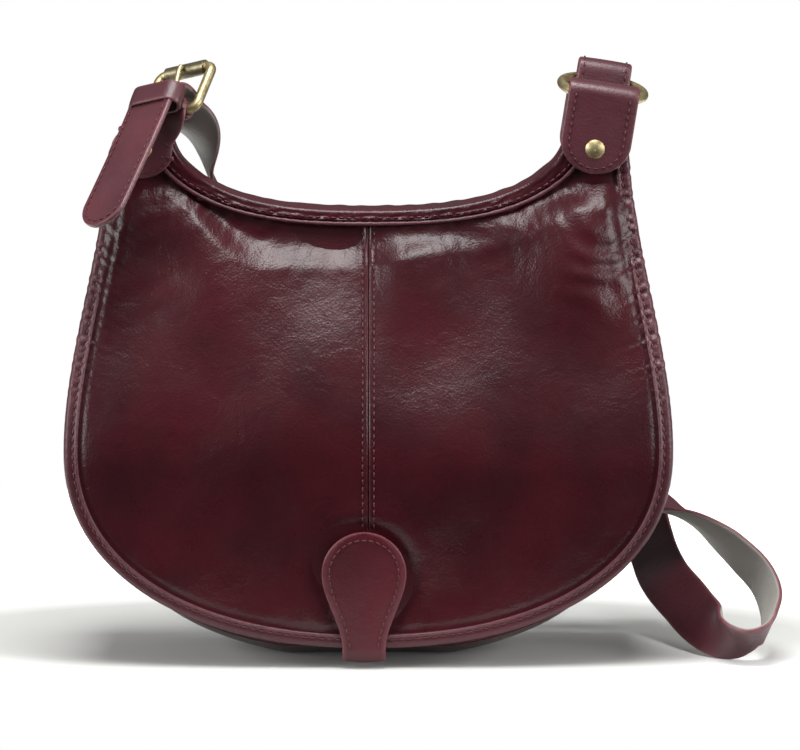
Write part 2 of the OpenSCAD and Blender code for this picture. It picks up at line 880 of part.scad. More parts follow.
// A folded end piece goes round the back of the ring and is sewn to the strap's end
ring_back_y = ring_middle_y + ring_radius * cos(ring_tilt);
ring_back_z = ring_middle_z + ring_radius * sin(ring_tilt);
bow = ring_radius - sqrt(ring_radius * ring_radius - strap_width * strap_width / 4);
loop_half_y = (bow + 2 * ring_wire + strap_thick) / 2 + 5 * seam;
loop_half_z = ring_wire + strap_thick / 2 + 5 * seam;
// Place of the loop's upper bends, as a share of its half depth
loop_corner = 0.66;
loop_middle = [0, ring_back_y - bow / 2, ring_back_z];
function right_place(p) = [rivet_out, 0, rivet_height] + turn_y(p, right_tilt);
loop_drop = 20;
loop_join = strap_thick + 4 * seam;
end_loop = [
    for (q = [
        [-1 * loop_half_y, -loop_half_z],
        [-loop_half_y, 0],
        [-loop_half_y * loop_corner, loop_half_z],
        [loop_half_y * loop_corner, loop_half_z],
        [loop_half_y, 0],
        [loop_half_y, -loop_half_z - strap_thick],
        [loop_half_y, -loop_half_z - loop_drop / 2],
        [loop_half_y, -loop_half_z - loop_drop]
    ]) [right_place(loop_middle + [0, q[0], q[1]]), [-1, 0, 0]]
];
// The strap starts in front of the end piece's back ply
strap_start_shares = [0.3, 0.8, 1.35];
strap_start = [
    for (s = strap_start_shares)
        [right_place(loop_middle + [0, loop_half_y - loop_join, -loop_half_z - s * loop_drop]), [-1, 0, 0]]
];

// The strap's other end goes over the heel bar and hangs through the keeper as its tip
// Places over the heel bar, in shares of the tip's distance and of the lugs' radius
over_bar_shares = [
    [1.308, 1.625], [0.692, 1.875], [0.231, 2.15], [-0.231, 2.3], [-0.615, 1.95], [-0.923, 1], [-1, -0.25]
];
// Places down the tip, in shares of its length
tip_down_shares = [0.194, 0.419, 0.645, 0.839, 1];
across_bar = left_turned([-1, 0, 0]);
tip_route = concat(
    [for (s = over_bar_shares) [left_place([0, s[0] * tip_out, s[1] * eye_out]), across_bar]],
    [for (s = tip_down_shares) [left_place([0, -tip_out, -s * tip_length]), across_bar]]
);

route = concat(strap_start, route_middle, tip_route);

// Cubic through the route's points, cut into equal steps between each pair
function spline(a, b, c, d, t) = (
    2 * b + (c - a) * t + (2 * a - 5 * b + 4 * c - d) * t * t + (3 * b - a - 3 * c + d) * t * t * t
) / 2;
route_steps = 3;
function smooth_line(line) = [
    for (i = [0 : len(line) - 2], k = [0 : route_steps - 1]) let (t = k / route_steps) [
        for (part = [0, 1]) spline(
            at_point(line, i - 1)[part], line[i][part], line[i + 1][part], at_point(line, i + 2)[part], t
        )
    ],
    line[len(line) - 1]
];
strap_line = smooth_line(route);

// A flat band through stations of a place, its width's direction and a share of the width
module band(stations) {
    loft([
        for (i = [0 : len(stations) - 1]) let (
            s = stations[i],
            run = unit(at_point(stations, i + 1)[0] - at_point(stations, i - 1)[0]),
            side = unit(s[1] - run * (s[1] * run)),
            up = cross(run, side),
            a = side * strap_width / 2 * s[2],
            b = up * strap_thick / 2
        ) [s[0] - a - b, s[0] + a - b, s[0] + a + b, s[0] - a + b]
    ]);
}

module strap_end_loop() {
    color(oxblood) band([for (s = smooth_line(end_loop)) [s[0], s[1], 1]]);
}

// The tip's round end, as shares of the strap's half width
tip_round_shares = [[0.35, 0.94], [0.65, 0.76], [0.85, 0.53], [0.97, 0.24]];

module shoulder_strap() {
    last = len(strap_line) - 1;
    down = unit(strap_line[last][0] - strap_line[last - 1][0]);
    rounded = [
        for (s = tip_round_shares)
            [strap_line[last][0] + down * s[0] * strap_width / 2, strap_line[last][1], s[1]]
    ];
    stations = concat([for (s = strap_line) [s[0], s[1], 1]], rounded);
    color(oxblood)
        difference() {
            band(stations);
            left_frame()
                translate([0, -hole_shift, eye_out])
                    cylinder(r = hole_radius, h = 3 * eye_out);
        }
}

// Flap

module flap_half(side) {
    color(oxblood)
        sheet(
            side < 0
                ? flap_columns(binding + seam, -1, -seam / bag_width, 12, 10)
                : flap_columns(binding + seam, seam / bag_width, 1, 12, 10),
            function (p) flap_y(p), leather, -1, side < 0 ? 12 : 0
        );
}

module flap_panel_left() {
    flap_half(-1);
}

module flap_panel_right() {
    flap_half(1);
}

module flap_lining() {
    color(cloth)
        sheet(flap_columns(binding + seam, -1, 1, 24, 10), function (p) flap_lining_y(p), lining, -1);
}

module flap_binding() {
    color(dark_oxblood)
        carry(
            round_line(binding + seam, bend_height, function (u) lobe(u, binding + seam, flap_height + binding + seam), 10, 24),
            function (p, n) let (fit = seam * 2 / 3) channel(
                [binding_width, binding_width],
                [for (out = [binding_width, 0]) -(flap_y(p - n * out) + leather + fit)],
                [for (out = [binding_width, 0]) -(flap_lining_y(p - n * out) - fit)],
                binding, fit
            ),
            true
        );
}

// Closing tab, a teardrop down the flap's front, round its lower edge and up behind it

tab_round = tab_width / 2;
function tab_half(z) = let (middle = tab_top - tab_round)
    z > middle ? sqrt(max(0, tab_round * tab_round - pow(z - middle, 2)))
    : mix(tab_neck / 2, tab_round, smooth((z - flap_height) / (middle - flap_height)));
function tab_front_y(z) = -(flap_y([0, z]) + leather + tab_gap);
function tab_back_y(z) = -(flap_lining_y([0, z]) - tab_gap);
tab_turn_z = flap_height;
tab_fall = tab_turn_z - tab_low - tab_thick;
tab_steps = 12;
// Each place on the tab's middle line: its inner point, its outer point and its half width
tab_rings = concat(
    [
        for (i = [0 : tab_steps]) let (
            z = tab_turn_z + (tab_top - tab_turn_z - tab_thick / 4) * (1 - pow(i / tab_steps, 1.5)),
            y = tab_front_y(z)
        ) [[y, z], [y - tab_thick, z], tab_half(z)]
    ],
    [
        for (i = [1 : 7]) let (
            a = 180 * i / 8,
            front = tab_front_y(tab_turn_z),
            back = tab_back_y(tab_turn_z),
            middle = (front + back) / 2,
            reach = (back - front) / 2
        ) [
            [middle - reach * cos(a), tab_turn_z - tab_fall * sin(a)],
            [middle - (reach + tab_thick) * cos(a), tab_turn_z - (tab_fall + tab_thick) * sin(a)],
            tab_neck / 2
        ]
    ],
    [
        for (i = [0 : 3]) let (z = mix(tab_turn_z, tab_tail, i / 3), y = tab_back_y(z))
            [[y, z], [y + tab_thick, z], tab_neck / 2]
    ]
);

module closing_tab() {
    color(oxblood)
        loft([
            for (r = tab_rings) [
                [-r[2], r[0][0], r[0][1]], [r[2], r[0][0], r[0][1]],
                [r[2], r[1][0], r[1][1]], [-r[2], r[1][0], r[1][1]]
            ]
        ]);
}

// Magnetic snap. Everything is set on the front panel's own slope at the snap's height.

snap_point = [0, snap_height];
slope_step = snap_radius / 2;
function slope(depth) = atan(
    (depth(snap_point + [0, slope_step]) - depth(snap_point - [0, slope_step])) / (2 * slope_step)
);
panel_slope = slope(function (p) panel_y(p));
flap_slope = slope(function (p) flap_lining_y(p));

// Local +Z points out of the bag, towards the front
module on_front(depth, tilt) {
    translate([0, -depth(snap_point), snap_height]) rotate([90 + tilt, 0, 0]) children();
}

// Places along the snap's axis, from the front panel's inner face outwards
socket_base = leather + seam;
stud_base = socket_base + socket_thick + seam + running;
stud_top = (flap_lining_y(snap_point) - panel_y(snap_point)) * cos(panel_slope) - 2 * seam;
stud_reach = socket_thick * 0.45;
// Wall of the socket's cup, and of the gap round its magnet
cup_wall = leather * 0.35;

module on_panel(out) {
    on_front(function (p) panel_y(p), panel_slope) translate([0, 0, out]) children();
}

module snap_socket() {
    color(antique_brass)
        on_panel(socket_base)
            difference() {
                cylinder(r = snap_radius, h = socket_thick);
                cylinder(r = snap_radius - cup_wall, h = 2 * (socket_thick - cup_wall), center = true);
                cylinder(r = stud_radius + stud_play, h = 3 * socket_thick, center = true);
            }
}

module snap_magnet() {
    color(steel)
        on_panel(socket_base)
            difference() {
                cylinder(r = snap_radius - cup_wall - seam / 3, h = socket_thick - cup_wall - seam / 3);
                cylinder(r = stud_radius + stud_play, h = 3 * socket_thick, center = true);
            }
}

module socket_washer() {
    color(antique_brass)
        on_panel(-snap_washer - seam)
            difference() {
                cylinder(r = snap_radius, h = snap_washer);
                cylinder(r = stud_radius, h = 3 * snap_washer, center = true);
            }
}

module snap_stud() {
    color(antique_brass)
        on_panel(stud_base) {
            cylinder(r = snap_radius, h = stud_top - stud_base);
            translate([0, 0, -stud_reach]) cylinder(r = stud_radius, h = stud_reach + (stud_top - stud_base) / 2);
        }
}

module stud_washer() {
    color(antique_brass)
        on_front(function (p) flap_y(p) + leather + seam, flap_slope)
            difference() {
                cylinder(r = snap_radius, h = snap_washer);
                cylinder(r = stud_radius, h = 3 * snap_washer, center = true);
            }
}

back_panel();
gusset();
front_panel();
flap_head();
top_strip();
front_piping();
back_binding();
horn_binding();
lining_front();
lining_back();
lining_side();
chape_left();
chape_right();
rivet_caps();
rivet_posts();
keeper();
strap_end_loop();
shoulder_strap();
snap_socket();
snap_magnet();
socket_washer();
flap_panel_left();
flap_panel_right();
flap_lining();
flap_binding();
closing_tab();
snap_stud();
stud_washer();
buckle_frame();
buckle_roller();
buckle_prong();
strap_ring();
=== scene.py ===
"""A saddle-shaped crossbody bag in waxed oxblood leather, dressed for a plain studio picture.

Lengths in this file are millimetres, as on a pattern maker's table. They become metres
only where points enter a mesh. Front is -Y, up is +Z.
"""

import logging
import math
from dataclasses import dataclass, field
from enum import Enum
from typing import Any, Callable, Sequence

import bpy
import numpy as np
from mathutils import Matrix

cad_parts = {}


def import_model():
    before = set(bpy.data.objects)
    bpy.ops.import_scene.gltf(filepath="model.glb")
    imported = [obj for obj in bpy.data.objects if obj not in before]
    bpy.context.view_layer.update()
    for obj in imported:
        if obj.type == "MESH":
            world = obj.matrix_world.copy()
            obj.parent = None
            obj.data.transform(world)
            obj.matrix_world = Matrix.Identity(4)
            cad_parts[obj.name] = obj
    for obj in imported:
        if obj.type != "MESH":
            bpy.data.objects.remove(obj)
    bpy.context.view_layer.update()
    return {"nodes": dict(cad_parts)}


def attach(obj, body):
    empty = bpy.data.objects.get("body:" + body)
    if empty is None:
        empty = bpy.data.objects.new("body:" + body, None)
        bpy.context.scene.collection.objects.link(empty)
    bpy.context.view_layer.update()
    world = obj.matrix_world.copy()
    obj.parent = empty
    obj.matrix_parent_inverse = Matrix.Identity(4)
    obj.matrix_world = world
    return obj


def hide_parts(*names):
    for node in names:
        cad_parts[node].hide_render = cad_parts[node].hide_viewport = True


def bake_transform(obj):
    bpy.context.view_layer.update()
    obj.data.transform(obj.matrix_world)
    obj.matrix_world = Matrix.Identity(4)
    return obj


Array = np.ndarray
Depth = Callable[[Array, Array], Array]
Pair = tuple[Array, Array]
Edge = Callable[[Array], Pair]

MM = 0.001
LOG = logging.getLogger("crossbody_bag")


# Small helpers


def smooth(value: Array) -> Array:
    """Smoothstep of a value held between 0 and 1: 3 t squared less 2 t cubed."""
    t = np.clip(value, 0.0, 1.0)
    return t * t * (3.0 - 2.0 * t)


def mix(low: Array, high: Array, share: Array) -> Array:
    """Straight blend from low at share 0 to high at share 1."""
    return low + (high - low) * share


def signed_power(value: Array, power: float) -> Array:
    """Power of a value's size, with the value's own sign."""
    return np.sign(value) * np.abs(value) ** power


def bump(distance: Array, width: float) -> Array:
    """Bell curve that is 1 at distance 0 and fades over the width."""
    return np.exp(-((distance / width) ** 2))


def unit(vectors: Array) -> Array:
    """Vectors along the last axis, scaled to length 1."""
    return vectors / np.maximum(np.linalg.norm(vectors, axis=-1, keepdims=True), 1e-12)


def ripple(a: Array, b: Array, wavelength: float, seed: int, waves: int = 7) -> Array:
    """Irregular waves about 1 high.

    Sum of plane waves with seeded directions, phases and lengths near the wavelength,
    divided by the root of half their number.

    Args:
        a: First coordinate, in millimetres.
        b: Second coordinate, in millimetres.
        wavelength: Middle length of the waves.
        seed: Seed of the directions and phases.
        waves: Number of waves.

    Returns:
        Heights, as an array of the coordinates' shape.
    """
    rng = np.random.default_rng(seed)
    angles = rng.uniform(0.0, math.pi, waves)
    lengths = wavelength * rng.uniform(0.7, 1.5, waves)
    phases = rng.uniform(0.0, 2.0 * math.pi, waves)
    along = np.multiply.outer(np.asarray(a, float), np.cos(angles) / lengths)
    along = along + np.multiply.outer(np.asarray(b, float), np.sin(angles) / lengths)
    return np.sin(2.0 * math.pi * along + phases).sum(axis=-1) / math.sqrt(waves / 2.0)


def resample(line: Array, count: int) -> Array:
    """Points at equal steps along a polyline, both ends included.

    Args:
        line: Points (n, 3).
        count: Number of points wanted.

    Returns:
        Points (count, 3).
    """
    steps = np.linalg.norm(np.diff(line, axis=0), axis=1)
    at = np.concatenate([[0.0], np.cumsum(steps)])
    wanted = np.linspace(0.0, at[-1], count)
    return np.stack([np.interp(wanted, at, line[:, k]) for k in range(line.shape[1])], axis=1)


def catmull_rom(points: Array, steps: int) -> Array:
    """Cubic through every point, cut into equal steps between each pair.

    For each span the cubic is half of (2b + (c - a)t + (2a - 5b + 4c - d)t^2
    + (3b - a - 3c + d)t^3), with a, b, c, d the four points round it.

    Args:
        points: Points (n, k).
        steps: Steps in each span.

    Returns:
        Points ((n - 1) * steps + 1, k).
    """
    padded = np.concatenate([points[:1], points, points[-1:]])
    a, b, c, d = padded[:-3, None], padded[1:-2, None], padded[2:-1, None], padded[3:, None]
    t = (np.arange(steps) / steps)[None, :, None]
    spans = (2 * b + (c - a) * t + (2 * a - 5 * b + 4 * c - d) * t**2 + (3 * b - a - 3 * c + d) * t**3) / 2
    return np.concatenate([spans.reshape(-1, points.shape[1]), points[-1:]])


def turned(points: Array, axis: int, degrees: float) -> Array:
    """Points turned about the X, Y or Z axis through the origin, by the right-hand rule.

    Args:
        points: Points (..., 3).
        axis: 0, 1 or 2.
        degrees: Angle.

    Returns:
        The turned points.
    """
    angle = math.radians(degrees)
    j, k = (axis + 1) % 3, (axis + 2) % 3
    result = np.array(points, dtype=float)
    result[..., j] = points[..., j] * math.cos(angle) - points[..., k] * math.sin(angle)
    result[..., k] = points[..., j] * math.sin(angle) + points[..., k] * math.cos(angle)
    return result


def outward(line: Array) -> Array:
    """Normals (n, 2) of a line in x and z: its run, turned a right angle clockwise."""
    run = unit(np.gradient(line, axis=0))
    return np.stack([run[:, 1], -run[:, 0]], axis=1)


def beside(line: Array, normal: Array, out: Array) -> Pair:
    """Places x and z (n, m) at distances out (n, m) from a line, along its normals."""
    return line[:, None, 0] + normal[:, None, 0] * out, line[:, None, 1] + normal[:, None, 1] * out


# Meshes


def grid_quads(rows: int, columns: int, close_rows: bool = False, close_columns: bool = False) -> Array:
    """Quads between the points of a grid that is stored row by row.

    Args:
        rows: Number of rows.
        columns: Number of columns.
        close_rows: Whether the last row joins the first.
        close_columns: Whether the last column joins the first.

    Returns:
        Vertex numbers (faces, 4).
    """
    i = np.arange(rows if close_rows else rows - 1)[:, None]
    j = np.arange(columns if close_columns else columns - 1)[None, :]
    below, right = (i + 1) % rows, (j + 1) % columns
    here, under = i * columns, below * columns
    return np.stack([here + j, here + right, under + right, under + j], axis=-1).reshape(-1, 4)


def signed_volume(points: Array, faces: Sequence[Array]) -> float:
    """Sum of the volumes between the origin and each face's fan: positive with outward faces."""
    total = 0.0
    for block in faces:
        for k in range(1, block.shape[1] - 1):
            a, b, c = points[block[:, 0]], points[block[:, k]], points[block[:, k + 1]]
            total += float(np.einsum("ij,ij->", a, np.cross(b, c)))
    return total


def make_piece(
    name: str,
    points: Array,
    faces: Sequence[Array],
    finish: "Finish",
    uv: Array | None = None,
    wear_and_highlight: Array | None = None,
    flesh: Array | None = None,
) -> bpy.types.Object:
    """Makes a smooth-shaded object at the origin from whole arrays.

    Args:
        name: Object name.
        points: Vertices (n, 3), in millimetres.
        faces: Blocks of faces, each (count, corners), of one closed surface.
        finish: Finish.
        uv: Place of each vertex on the leather or cloth (n, 2), in millimetres.
        wear_and_highlight: How pale each vertex is, 0 to 1, for edge wear and painted highlights.
        flesh: 1 where a vertex lies on the leather's flesh side.

    Returns:
        The new object, linked to the scene.
    """
    if signed_volume(points, faces) < 0.0:
        faces = [block[:, ::-1] for block in faces]
    loops = np.concatenate([block.ravel() for block in faces]).astype(np.int32)
    totals = np.concatenate([np.full(len(block), block.shape[1]) for block in faces]).astype(np.int32)
    starts = np.concatenate([[0], np.cumsum(totals)[:-1]]).astype(np.int32)
    mesh = bpy.data.meshes.new(name)
    mesh.vertices.add(len(points))
    mesh.vertices.foreach_set("co", (points * MM).astype(np.float32).ravel())
    mesh.loops.add(len(loops))
    mesh.loops.foreach_set("vertex_index", loops)
    mesh.polygons.add(len(totals))
    mesh.polygons.foreach_set("loop_start", starts)
    mesh.polygons.foreach_set("loop_total", totals)
    mesh.polygons.foreach_set("use_smooth", np.ones(len(totals), dtype=bool))
    mesh.update(calc_edges=True)
    mesh.validate(verbose=False)
    if uv is not None:
        layer = mesh.uv_layers.new(name="pattern")
        layer.data.foreach_set("uv", (uv[loops] * MM).astype(np.float32).ravel())
    for label, values in (("wear_and_highlight", wear_and_highlight), ("flesh", flesh)):
        if values is not None:
            layer = mesh.attributes.new(label, "FLOAT", "POINT")
            layer.data.foreach_set("value", values.astype(np.float32).ravel())
    mesh.materials.append(finish.material())
    piece = bpy.data.objects.new(name, mesh)
    bpy.context.scene.collection.objects.link(piece)
    return piece


def shell_mesh(outer: Array, inner: Array) -> tuple[Array, list[Array]]:
    """A sheet with thickness: outer and inner grids joined all round their edges.

    Args:
        outer: Outer face (n, m, 3).
        inner: Inner face (n, m, 3).

    Returns:
        Points and blocks of faces.
    """
    n, m = outer.shape[:2]
    rings = np.concatenate([outer, inner[:, ::-1]], axis=1)
    walls = grid_quads(n, 2 * m, close_columns=True)
    j = np.arange(m - 1)
    first = np.stack([j, 2 * m - 1 - j, 2 * m - 2 - j, j + 1], axis=1)
    last = (first + (n - 1) * 2 * m)[:, ::-1]
    return rings.reshape(-1, 3), [walls, first, last]


def ring_mesh(rings: Array, closed: bool = False) -> tuple[Array, list[Array]]:
    """A solid through closed rings of points, capped unless the path itself closes.

    Args:
        rings: Points (n, m, 3).
        closed: Whether the last ring joins the first.

    Returns:
        Points and blocks of faces.
    """
    n, m = rings.shape[:2]
    blocks = [grid_quads(n, m, close_rows=closed, close_columns=True)]
    if not closed:
        blocks += [np.arange(m)[None, ::-1], (np.arange(m) + (n - 1) * m)[None, :]]
    return rings.reshape(-1, 3), blocks


# Finishes


def linear(code: str) -> tuple[float, float, float, float]:
    """Linear colour of an sRGB hex code.

    Each channel c below 0.04045 is c / 12.92, and above it ((c + 0.055) / 1.055) to the 2.4.

    Args:
        code: Six hex digits after a hash.

    Returns:
        Red, green, blue and 1.
    """
    channels = [int(code[k : k + 2], 16) / 255.0 for k in (1, 3, 5)]
    values = [c / 12.92 if c <= 0.04045 else ((c + 0.055) / 1.055) ** 2.4 for c in channels]
    return values[0], values[1], values[2], 1.0


def add_node(tree: bpy.types.NodeTree, kind: str, settings: dict[Any, Any]) -> bpy.types.Node:
    """Adds one node with its settings and links.

    Args:
        tree: Node tree.
        kind: Shader node's type, as TexNoise or MapRange.
        settings: Properties by name and inputs by name or number, in order. An input's
            value is a plain value, the output socket that it is linked to, or a node
            whose first output it is linked to.

    Returns:
        The new node.
    """
    node = tree.nodes.new("ShaderNode" + kind)
    for key, value in settings.items():
        if isinstance(value, bpy.types.Node):
            value = value.outputs[0]
        if isinstance(key, str) and hasattr(node, key):
            setattr(node, key, value)
        elif isinstance(value, bpy.types.NodeSocket):
            tree.links.new(value, node.inputs[key])
        else:
            node.inputs[key].default_value = value
    return node


def per_metre(size: float) -> float:
    """Scale of a texture whose cells are this many millimetres across."""
    return 1000.0 / size


def new_material(name: str) -> tuple[bpy.types.Material, bpy.types.NodeTree]:
    """An empty material and its node tree, for a finish to fill."""
    material = bpy.data.materials.new(name)
    material.use_nodes = True
    material.node_tree.nodes.clear()
    return material, material.node_tree


@dataclass(frozen=True)
class LeatherFinish:
    """Aniline-dyed cowhide, waxed and glazed by hand.

    The dye sinks in unevenly, so the colour drifts over some centimetres. The wax gives a
    soft gloss over a fine pore pattern. Cut edges and edges that see wear show paler, and
    the same paler colour is painted on as highlights along beads, piping and the strip's rim.
    """

    name: str = "oxblood_waxed_cowhide"
    cloud_size: float = 46.0
    speckle_size: float = 3.2
    gloss_size: float = 17.0
    body: str = "#43121a"
    deep: str = "#300f15"
    wear_and_highlight: str = "#7b4149"
    flesh: str = "#a39f98"
    roughness: float = 0.3
    spread: float = 0.1
    coat: float = 0.05
    specular: float = 0.3
    pore: float = 1.1
    pore_height: float = 0.035
    crease: float = 9.0
    crease_height: float = 0.10

    def build(self) -> bpy.types.Material:
        """Builds and returns the material."""
        material, tree = new_material(self.name)
        place = add_node(tree, "TexCoord", {}).outputs["Object"]
        drift = add_node(
            tree,
            "TexNoise",
            {"Vector": place, "Scale": per_metre(self.cloud_size), "Detail": 3.0, "Roughness": 0.55},
        )
        cloud = add_node(tree, "MapRange", {"Value": drift, "From Min": 0.3, "From Max": 0.7})
        dyed = add_node(
            tree, "Mix", {"data_type": "RGBA", 0: cloud, 6: linear(self.deep), 7: linear(self.body)}
        )
        # Paler leather where the mesh marks it: wear on cut and handled edges, and painted highlights on the
        # binding beads, the piping's front and the strip's back rim.
        rub_and_highlight = add_node(tree, "Attribute", {"attribute_name": "wear_and_highlight"})
        speckle = add_node(
            tree,
            "TexNoise",
            {"Vector": place, "Scale": per_metre(self.speckle_size), "Detail": 4.0, "Roughness": 0.65},
        )
        patchy = add_node(
            tree,
            "MapRange",
            {"Value": speckle, "From Min": 0.3, "From Max": 0.6, "To Min": 0.35, "To Max": 1.0},
        )
        patchy_rub_and_highlight = add_node(tree, "Math", {"operation": "MULTIPLY", 0: rub_and_highlight.outputs["Fac"], 1: patchy})
        paled_colour = add_node(tree, "Mix", {"data_type": "RGBA", 0: patchy_rub_and_highlight, 6: dyed.outputs[2], 7: linear(self.wear_and_highlight)})
        underside = add_node(tree, "Attribute", {"attribute_name": "flesh"})
        colour = add_node(
            tree,
            "Mix",
            {"data_type": "RGBA", 0: underside.outputs["Fac"], 6: paled_colour.outputs[2], 7: linear(self.flesh)},
        )
        gloss = add_node(
            tree,
            "TexNoise",
            {"Vector": place, "Scale": per_metre(self.gloss_size), "Detail": 4.0, "Roughness": 0.6},
        )
        rough = add_node(
            tree,
            "MapRange",
            {
                "Value": gloss,
                "From Min": 0.3,
                "From Max": 0.7,
                "To Min": self.roughness - self.spread / 2,
                "To Max": self.roughness + self.spread / 2,
            },
        )
        pores = add_node(
            tree,
            "TexVoronoi",
            {"feature": "SMOOTH_F1", "Vector": place, "Scale": per_metre(self.pore), "Smoothness": 0.4},
        )
        creases = add_node(
            tree,
            "TexNoise",
            {
                "Vector": place,
                "Scale": per_metre(self.crease),
                "Detail": 6.0,
                "Roughness": 0.62,
                "Distortion": 0.6,
            },
        )
        soft = add_node(
            tree, "Bump", {"Strength": 1.0, "Distance": self.crease_height * MM * 4.0, "Height": creases}
        )
        grain = add_node(
            tree,
            "Bump",
            {
                "Strength": 1.0,
                "Distance": self.pore_height * MM * 2.0,
                "Height": pores,
                "Normal": soft,
            },
        )
        shader = add_node(
            tree,
            "BsdfPrincipled",
            {
                "Base Color": colour.outputs[2],
                "Roughness": rough,
                "IOR": 1.5,
                "Specular IOR Level": self.specular,
                "Coat Weight": self.coat,
                "Coat Roughness": 0.3,
                "Normal": grain,
            },
        )
        add_node(tree, "OutputMaterial", {"Surface": shader})
        return material


@dataclass(frozen=True)
class ClothFinish:
    """Plain-woven cotton lining: a dull surface with a fine, even grid of threads."""

    name: str = "lining_plain_woven_cotton"
    thread: str = "#4a3a3e"
    gap: str = "#241b1e"
    spacing: float = 0.9

    def build(self) -> bpy.types.Material:
        """Builds and returns the material, with threads coarser than the real 0.5 mm, to show."""
        material, tree = new_material(self.name)
        place = add_node(tree, "TexCoord", {}).outputs["Object"]
        threads = [
            add_node(
                tree,
                "TexWave",
                {
                    "bands_direction": direction,
                    "Vector": place,
                    "Scale": per_metre(self.spacing) / 20.0 * math.pi,
                    "Distortion": 0.6,
                    "Detail Scale": 2.0,
                },
            )
            for direction in ("X", "Z")
        ]
        weave = add_node(
            tree,
            "Math",
            {"operation": "MULTIPLY", 0: threads[0].outputs["Fac"], 1: threads[1].outputs["Fac"]},
        )
        colour = add_node(
            tree, "Mix", {"data_type": "RGBA", 0: weave, 6: linear(self.gap), 7: linear(self.thread)}
        )
        relief = add_node(tree, "Bump", {"Strength": 0.8, "Distance": 0.2 * MM, "Height": weave})
        shader = add_node(
            tree,
            "BsdfPrincipled",
            {
                "Base Color": colour.outputs[2],
                "Roughness": 0.92,
                "Sheen Weight": 0.25,
                "Sheen Roughness": 0.4,
                "Normal": relief,
            },
        )
        add_node(tree, "OutputMaterial", {"Surface": shader})
        return material


@dataclass(frozen=True)
class ThreadFinish:
    """Waxed and twisted polyester thread: slightly shiny, a little redder than the leather."""

    name: str = "oxblood_waxed_thread"
    light: str = "#651f29"
    dark: str = "#3c0f17"

    def build(self) -> bpy.types.Material:
        """Builds and returns the material."""
        material, tree = new_material(self.name)
        place = add_node(tree, "TexCoord", {}).outputs["Object"]
        twist = add_node(tree, "TexNoise", {"Vector": place, "Scale": per_metre(0.8), "Detail": 2.0})
        colour = add_node(
            tree, "Mix", {"data_type": "RGBA", 0: twist, 6: linear(self.dark), 7: linear(self.light)}
        )
        relief = add_node(tree, "Bump", {"Strength": 0.5, "Distance": 0.08 * MM, "Height": twist})
        shader = add_node(
            tree, "BsdfPrincipled", {"Base Color": colour.outputs[2], "Roughness": 0.5, "Normal": relief}
        )
        add_node(tree, "OutputMaterial", {"Surface": shader})
        return material


@dataclass(frozen=True)
class MetalFinish:
    """Cast and tumbled metal, plated, then tarnished, and polished bright where hands touch it."""

    name: str
    bright: str
    tarnish: str
    roughness: float = 0.3
    spread: float = 0.16
    patch: float = 5.0

    def build(self) -> bpy.types.Material:
        """Builds and returns the material."""
        material, tree = new_material(self.name)
        place = add_node(tree, "TexCoord", {}).outputs["Object"]
        patches = add_node(
            tree,
            "TexNoise",
            {"Vector": place, "Scale": per_metre(self.patch), "Detail": 6.0, "Roughness": 0.7},
        )
        spread = add_node(tree, "MapRange", {"Value": patches, "From Min": 0.35, "From Max": 0.62})
        colour = add_node(
            tree, "Mix", {"data_type": "RGBA", 0: spread, 6: linear(self.tarnish), 7: linear(self.bright)}
        )
        rough = add_node(
            tree,
            "MapRange",
            {
                "Value": patches,
                "From Min": 0.3,
                "From Max": 0.7,
                "To Min": self.roughness + self.spread / 2,
                "To Max": self.roughness - self.spread / 2,
            },
        )
        scratches = add_node(tree, "TexNoise", {"Vector": place, "Scale": per_metre(0.7), "Detail": 3.0})
        relief = add_node(tree, "Bump", {"Strength": 0.2, "Distance": 0.03 * MM, "Height": scratches})
        shader = add_node(
            tree,
            "BsdfPrincipled",
            {
                "Base Color": colour.outputs[2],
                "Metallic": 1.0,
                "Roughness": rough,
                "Normal": relief,
            },
        )
        add_node(tree, "OutputMaterial", {"Surface": shader})
        return material


class Finish(Enum):
    """The finishes of the bag, each built once."""

    BODY = LeatherFinish()
    STRAP = LeatherFinish(
        "oxblood_bridle_strap", body="#57202b", deep="#40161f", roughness=0.47, specular=0.75
    )
    TAB = LeatherFinish("oxblood_closing_tab", body="#54111e", deep="#3d0c16", roughness=0.42, specular=0.45)
    BINDING = LeatherFinish(
        name="oxblood_skived_binding",
        body="#4d1a24",
        deep="#371119",
        wear_and_highlight="#744750",
        roughness=0.45,
        specular=0.5,
        crease=4.0,
        crease_height=0.08,
    )
    LINING = ClothFinish()
    THREAD = ThreadFinish()
    BRASS = MetalFinish("antique_brass_plated_zinc", bright="#d6c79c", tarnish="#97875f", roughness=0.46)
    ROLLER = MetalFinish("tumbled_brass_plated_roller", bright="#a39a7e", tarnish="#6e6650", roughness=0.42)
    NICKEL = MetalFinish("nickel_plated_steel", bright="#b9b9b4", tarnish="#8a8a86", roughness=0.25)

    def material(self) -> bpy.types.Material:
        """The built material, made at its first use."""
        return bpy.data.materials.get(self.value.name) or self.value.build()


# The bag's shape


